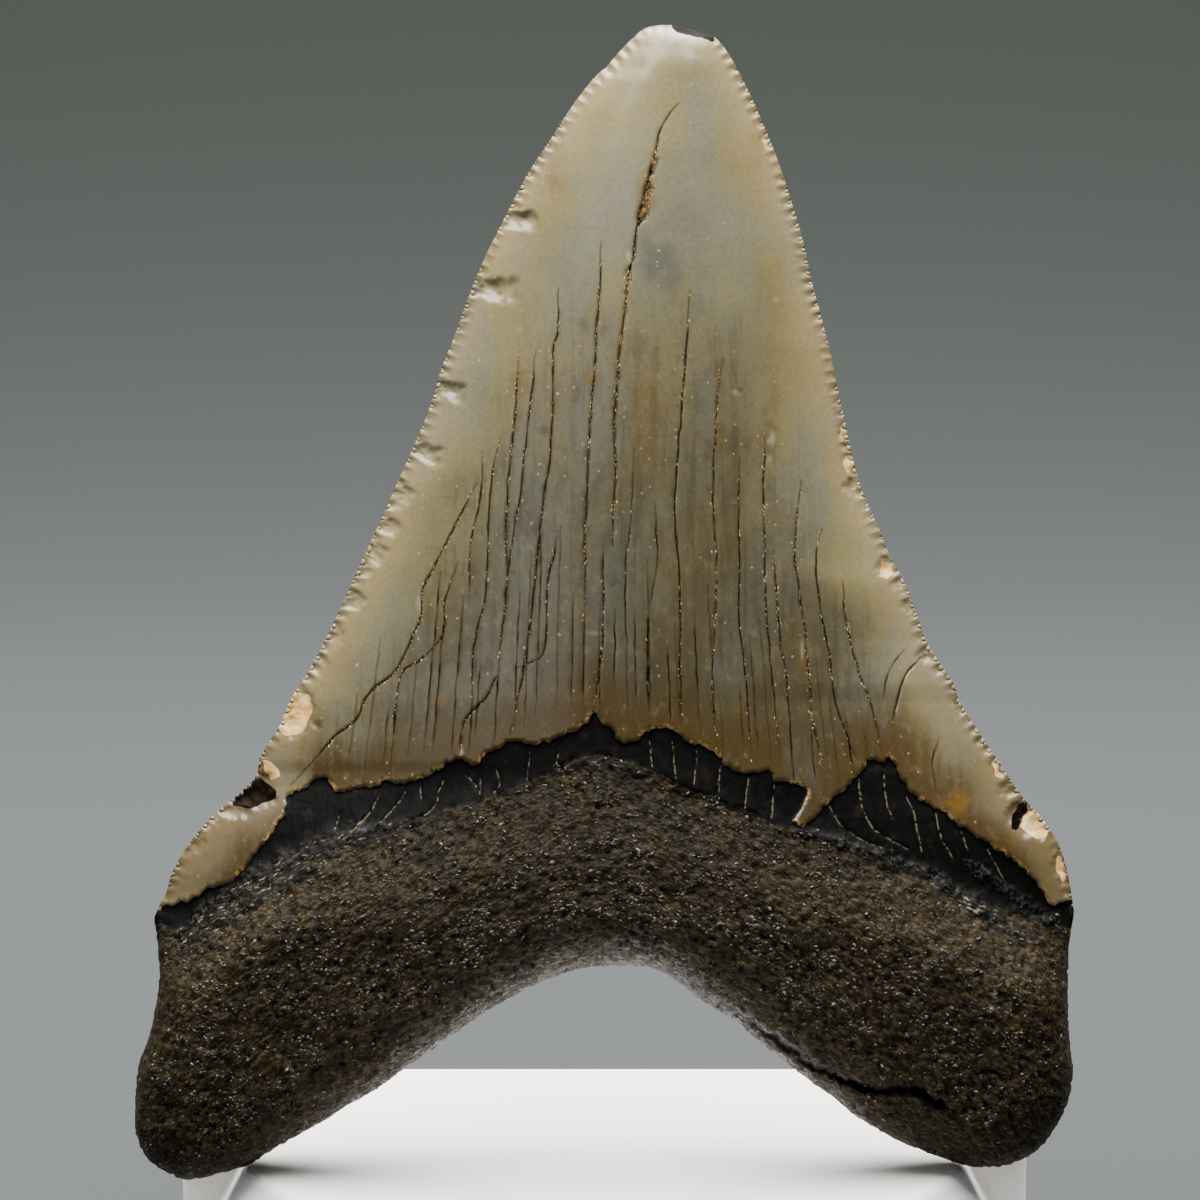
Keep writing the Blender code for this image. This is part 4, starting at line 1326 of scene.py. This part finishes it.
def grain_tree(name, thick_where, finish):
    inputs = {"Density": 1e6, "Length": 0.0004, "Width": 0.4, "Sink": 0.3, "Upright": 0.0, "Seed": 5}
    tree, nodes, given = new_tree(name, inputs)
    normal = nodes.add("GeometryNodeInputNormal")
    facing = nodes.add("ShaderNodeSeparateXYZ", None, {0: normal}, output="Y").ramped(0.1, -0.4)
    values = {"Mesh": given["Geometry"], "Seed": given["Seed"]}
    values["Density"] = thick_where(nodes) * facing * given["Density"]
    points = nodes.add("GeometryNodeDistributePointsOnFaces", {"distribute_method": "RANDOM"}, values)
    place = nodes.add("GeometryNodeInputPosition")
    across = nodes.add("ShaderNodeSeparateXYZ", None, {0: place}, output="X")
    kink = GRAIN_KINK * SHEET_UNIT
    slope = across / (across * across + kink * kink).maths("SQRT") * GRAIN_SLOPE
    shake = nodes.add("FunctionNodeRandomValue", None, {2: -1.2, 3: 1.2, "Seed": given["Seed"]}, output=1)
    level = 1 - given["Upright"]
    along = nodes.add("ShaderNodeCombineXYZ", None, {0: level, 1: 0.0, 2: (shake - slope) * level + given["Upright"]})
    out = nodes.add("FunctionNodeAlignRotationToVector", {"axis": "Z"}, {"Vector": points.other("Normal")})
    turned = {"axis": "X", "pivot_axis": "Z"}
    turn = nodes.add("FunctionNodeAlignRotationToVector", turned, {"Rotation": out, "Vector": along})
    size = nodes.add("FunctionNodeRandomValue", None, {2: 0.25, 3: 1.0, "Seed": given["Seed"] + 1}, output=1)
    length = size * size * given["Length"]
    scale = nodes.add("ShaderNodeCombineXYZ", None, {0: length, 1: length * given["Width"], 2: length * given["Sink"]})
    stone = nodes.add("GeometryNodeMeshUVSphere", None, {"Segments": 4, "Rings": 2, "Radius": 0.5})
    values = {"Points": points, "Instance": stone, "Rotation": turn, "Scale": scale}
    stones = nodes.add("GeometryNodeInstanceOnPoints", None, values)
    tint = nodes.add("FunctionNodeRandomValue", None, {2: 0.0, 3: 1.0, "Seed": given["Seed"] + 2}, output=1)
    settings = {"data_type": "FLOAT", "domain": "INSTANCE"}
    stones = nodes.add("GeometryNodeStoreNamedAttribute", settings, {0: stones, "Name": "tint", "Value": tint})
    close_tree(nodes, stones, {0: finish})
    return tree


def scatter(name, thick_where, finish, values):
    mesh = run_tree(skin, grain_tree(name, thick_where, finish), values)
    mesh.name = name
    grains = bpy.data.objects.new(name, mesh)
    bpy.context.scene.collection.objects.link(grains)
    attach(grains, "root")
    print(name, len(mesh.polygons), "triangles")


def on_root(nodes):
    patchy = nodes.cloudy(named(nodes, "sheet", "FLOAT_VECTOR"), 3.5, 3.0)
    bare = (named(nodes, "parting") * 4 + named(nodes, "fibre") * 2).clamped()
    return named(nodes, "root") * (1 - bare) * patchy.ramped(0.34, 0.7)


def in_cracks(nodes):
    clumps = nodes.cloudy(named(nodes, "sheet", "FLOAT_VECTOR"), 6.0, 3.0)
    return named(nodes, "mineral") * clumps.ramped(0.36, 0.64)


sandy = grain_finish("root_sand", colour(26, 22, 13), colour(70, 61, 41), colour(150, 140, 114))
golden = grain_finish("crack_sand", colour(112, 86, 42), colour(200, 174, 116), colour(240, 224, 180))
scatter("root_grains", on_root, sandy, {"Density": 1.3e7, "Length": 0.00062, "Width": 0.55, "Sink": 0.4, "Upright": 0.0, "Seed": 3})
scatter("crack_grains", in_cracks, golden, {"Density": 7e7, "Length": 0.00038, "Width": 0.45, "Sink": 0.3, "Upright": 1.0, "Seed": 8})

# %% [markdown]
# ## The plinth
#
# The block is smooth and white, with a faint unevenness that only shows in the light. The solid
# already has the right shape, so it stays and only takes a finish.


# %% The plinth's finish
def plinth_finish():
    material, nodes, shader = start_finish("white_lacquer", 0.42)
    place = nodes.add("ShaderNodeTexCoord", output="Object")
    mottle = nodes.cloudy(place, 60.0, 3.0)
    dust = nodes.cloudy(place, 900.0, 2.0).ramped(0.6, 0.75)
    tone = nodes.mix(mottle, (0.88, 0.85, 0.82), (0.91, 0.885, 0.855))
    nodes.feed(shader.inputs["Base Color"], nodes.mix(dust * 0.15, tone, (0.6, 0.58, 0.55)))
    relief_normal(nodes, shader, mottle, 0.05, 0.0005)
    return material


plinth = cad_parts["plinth"]
plinth.data.materials.clear()
plinth.data.materials.append(plinth_finish())
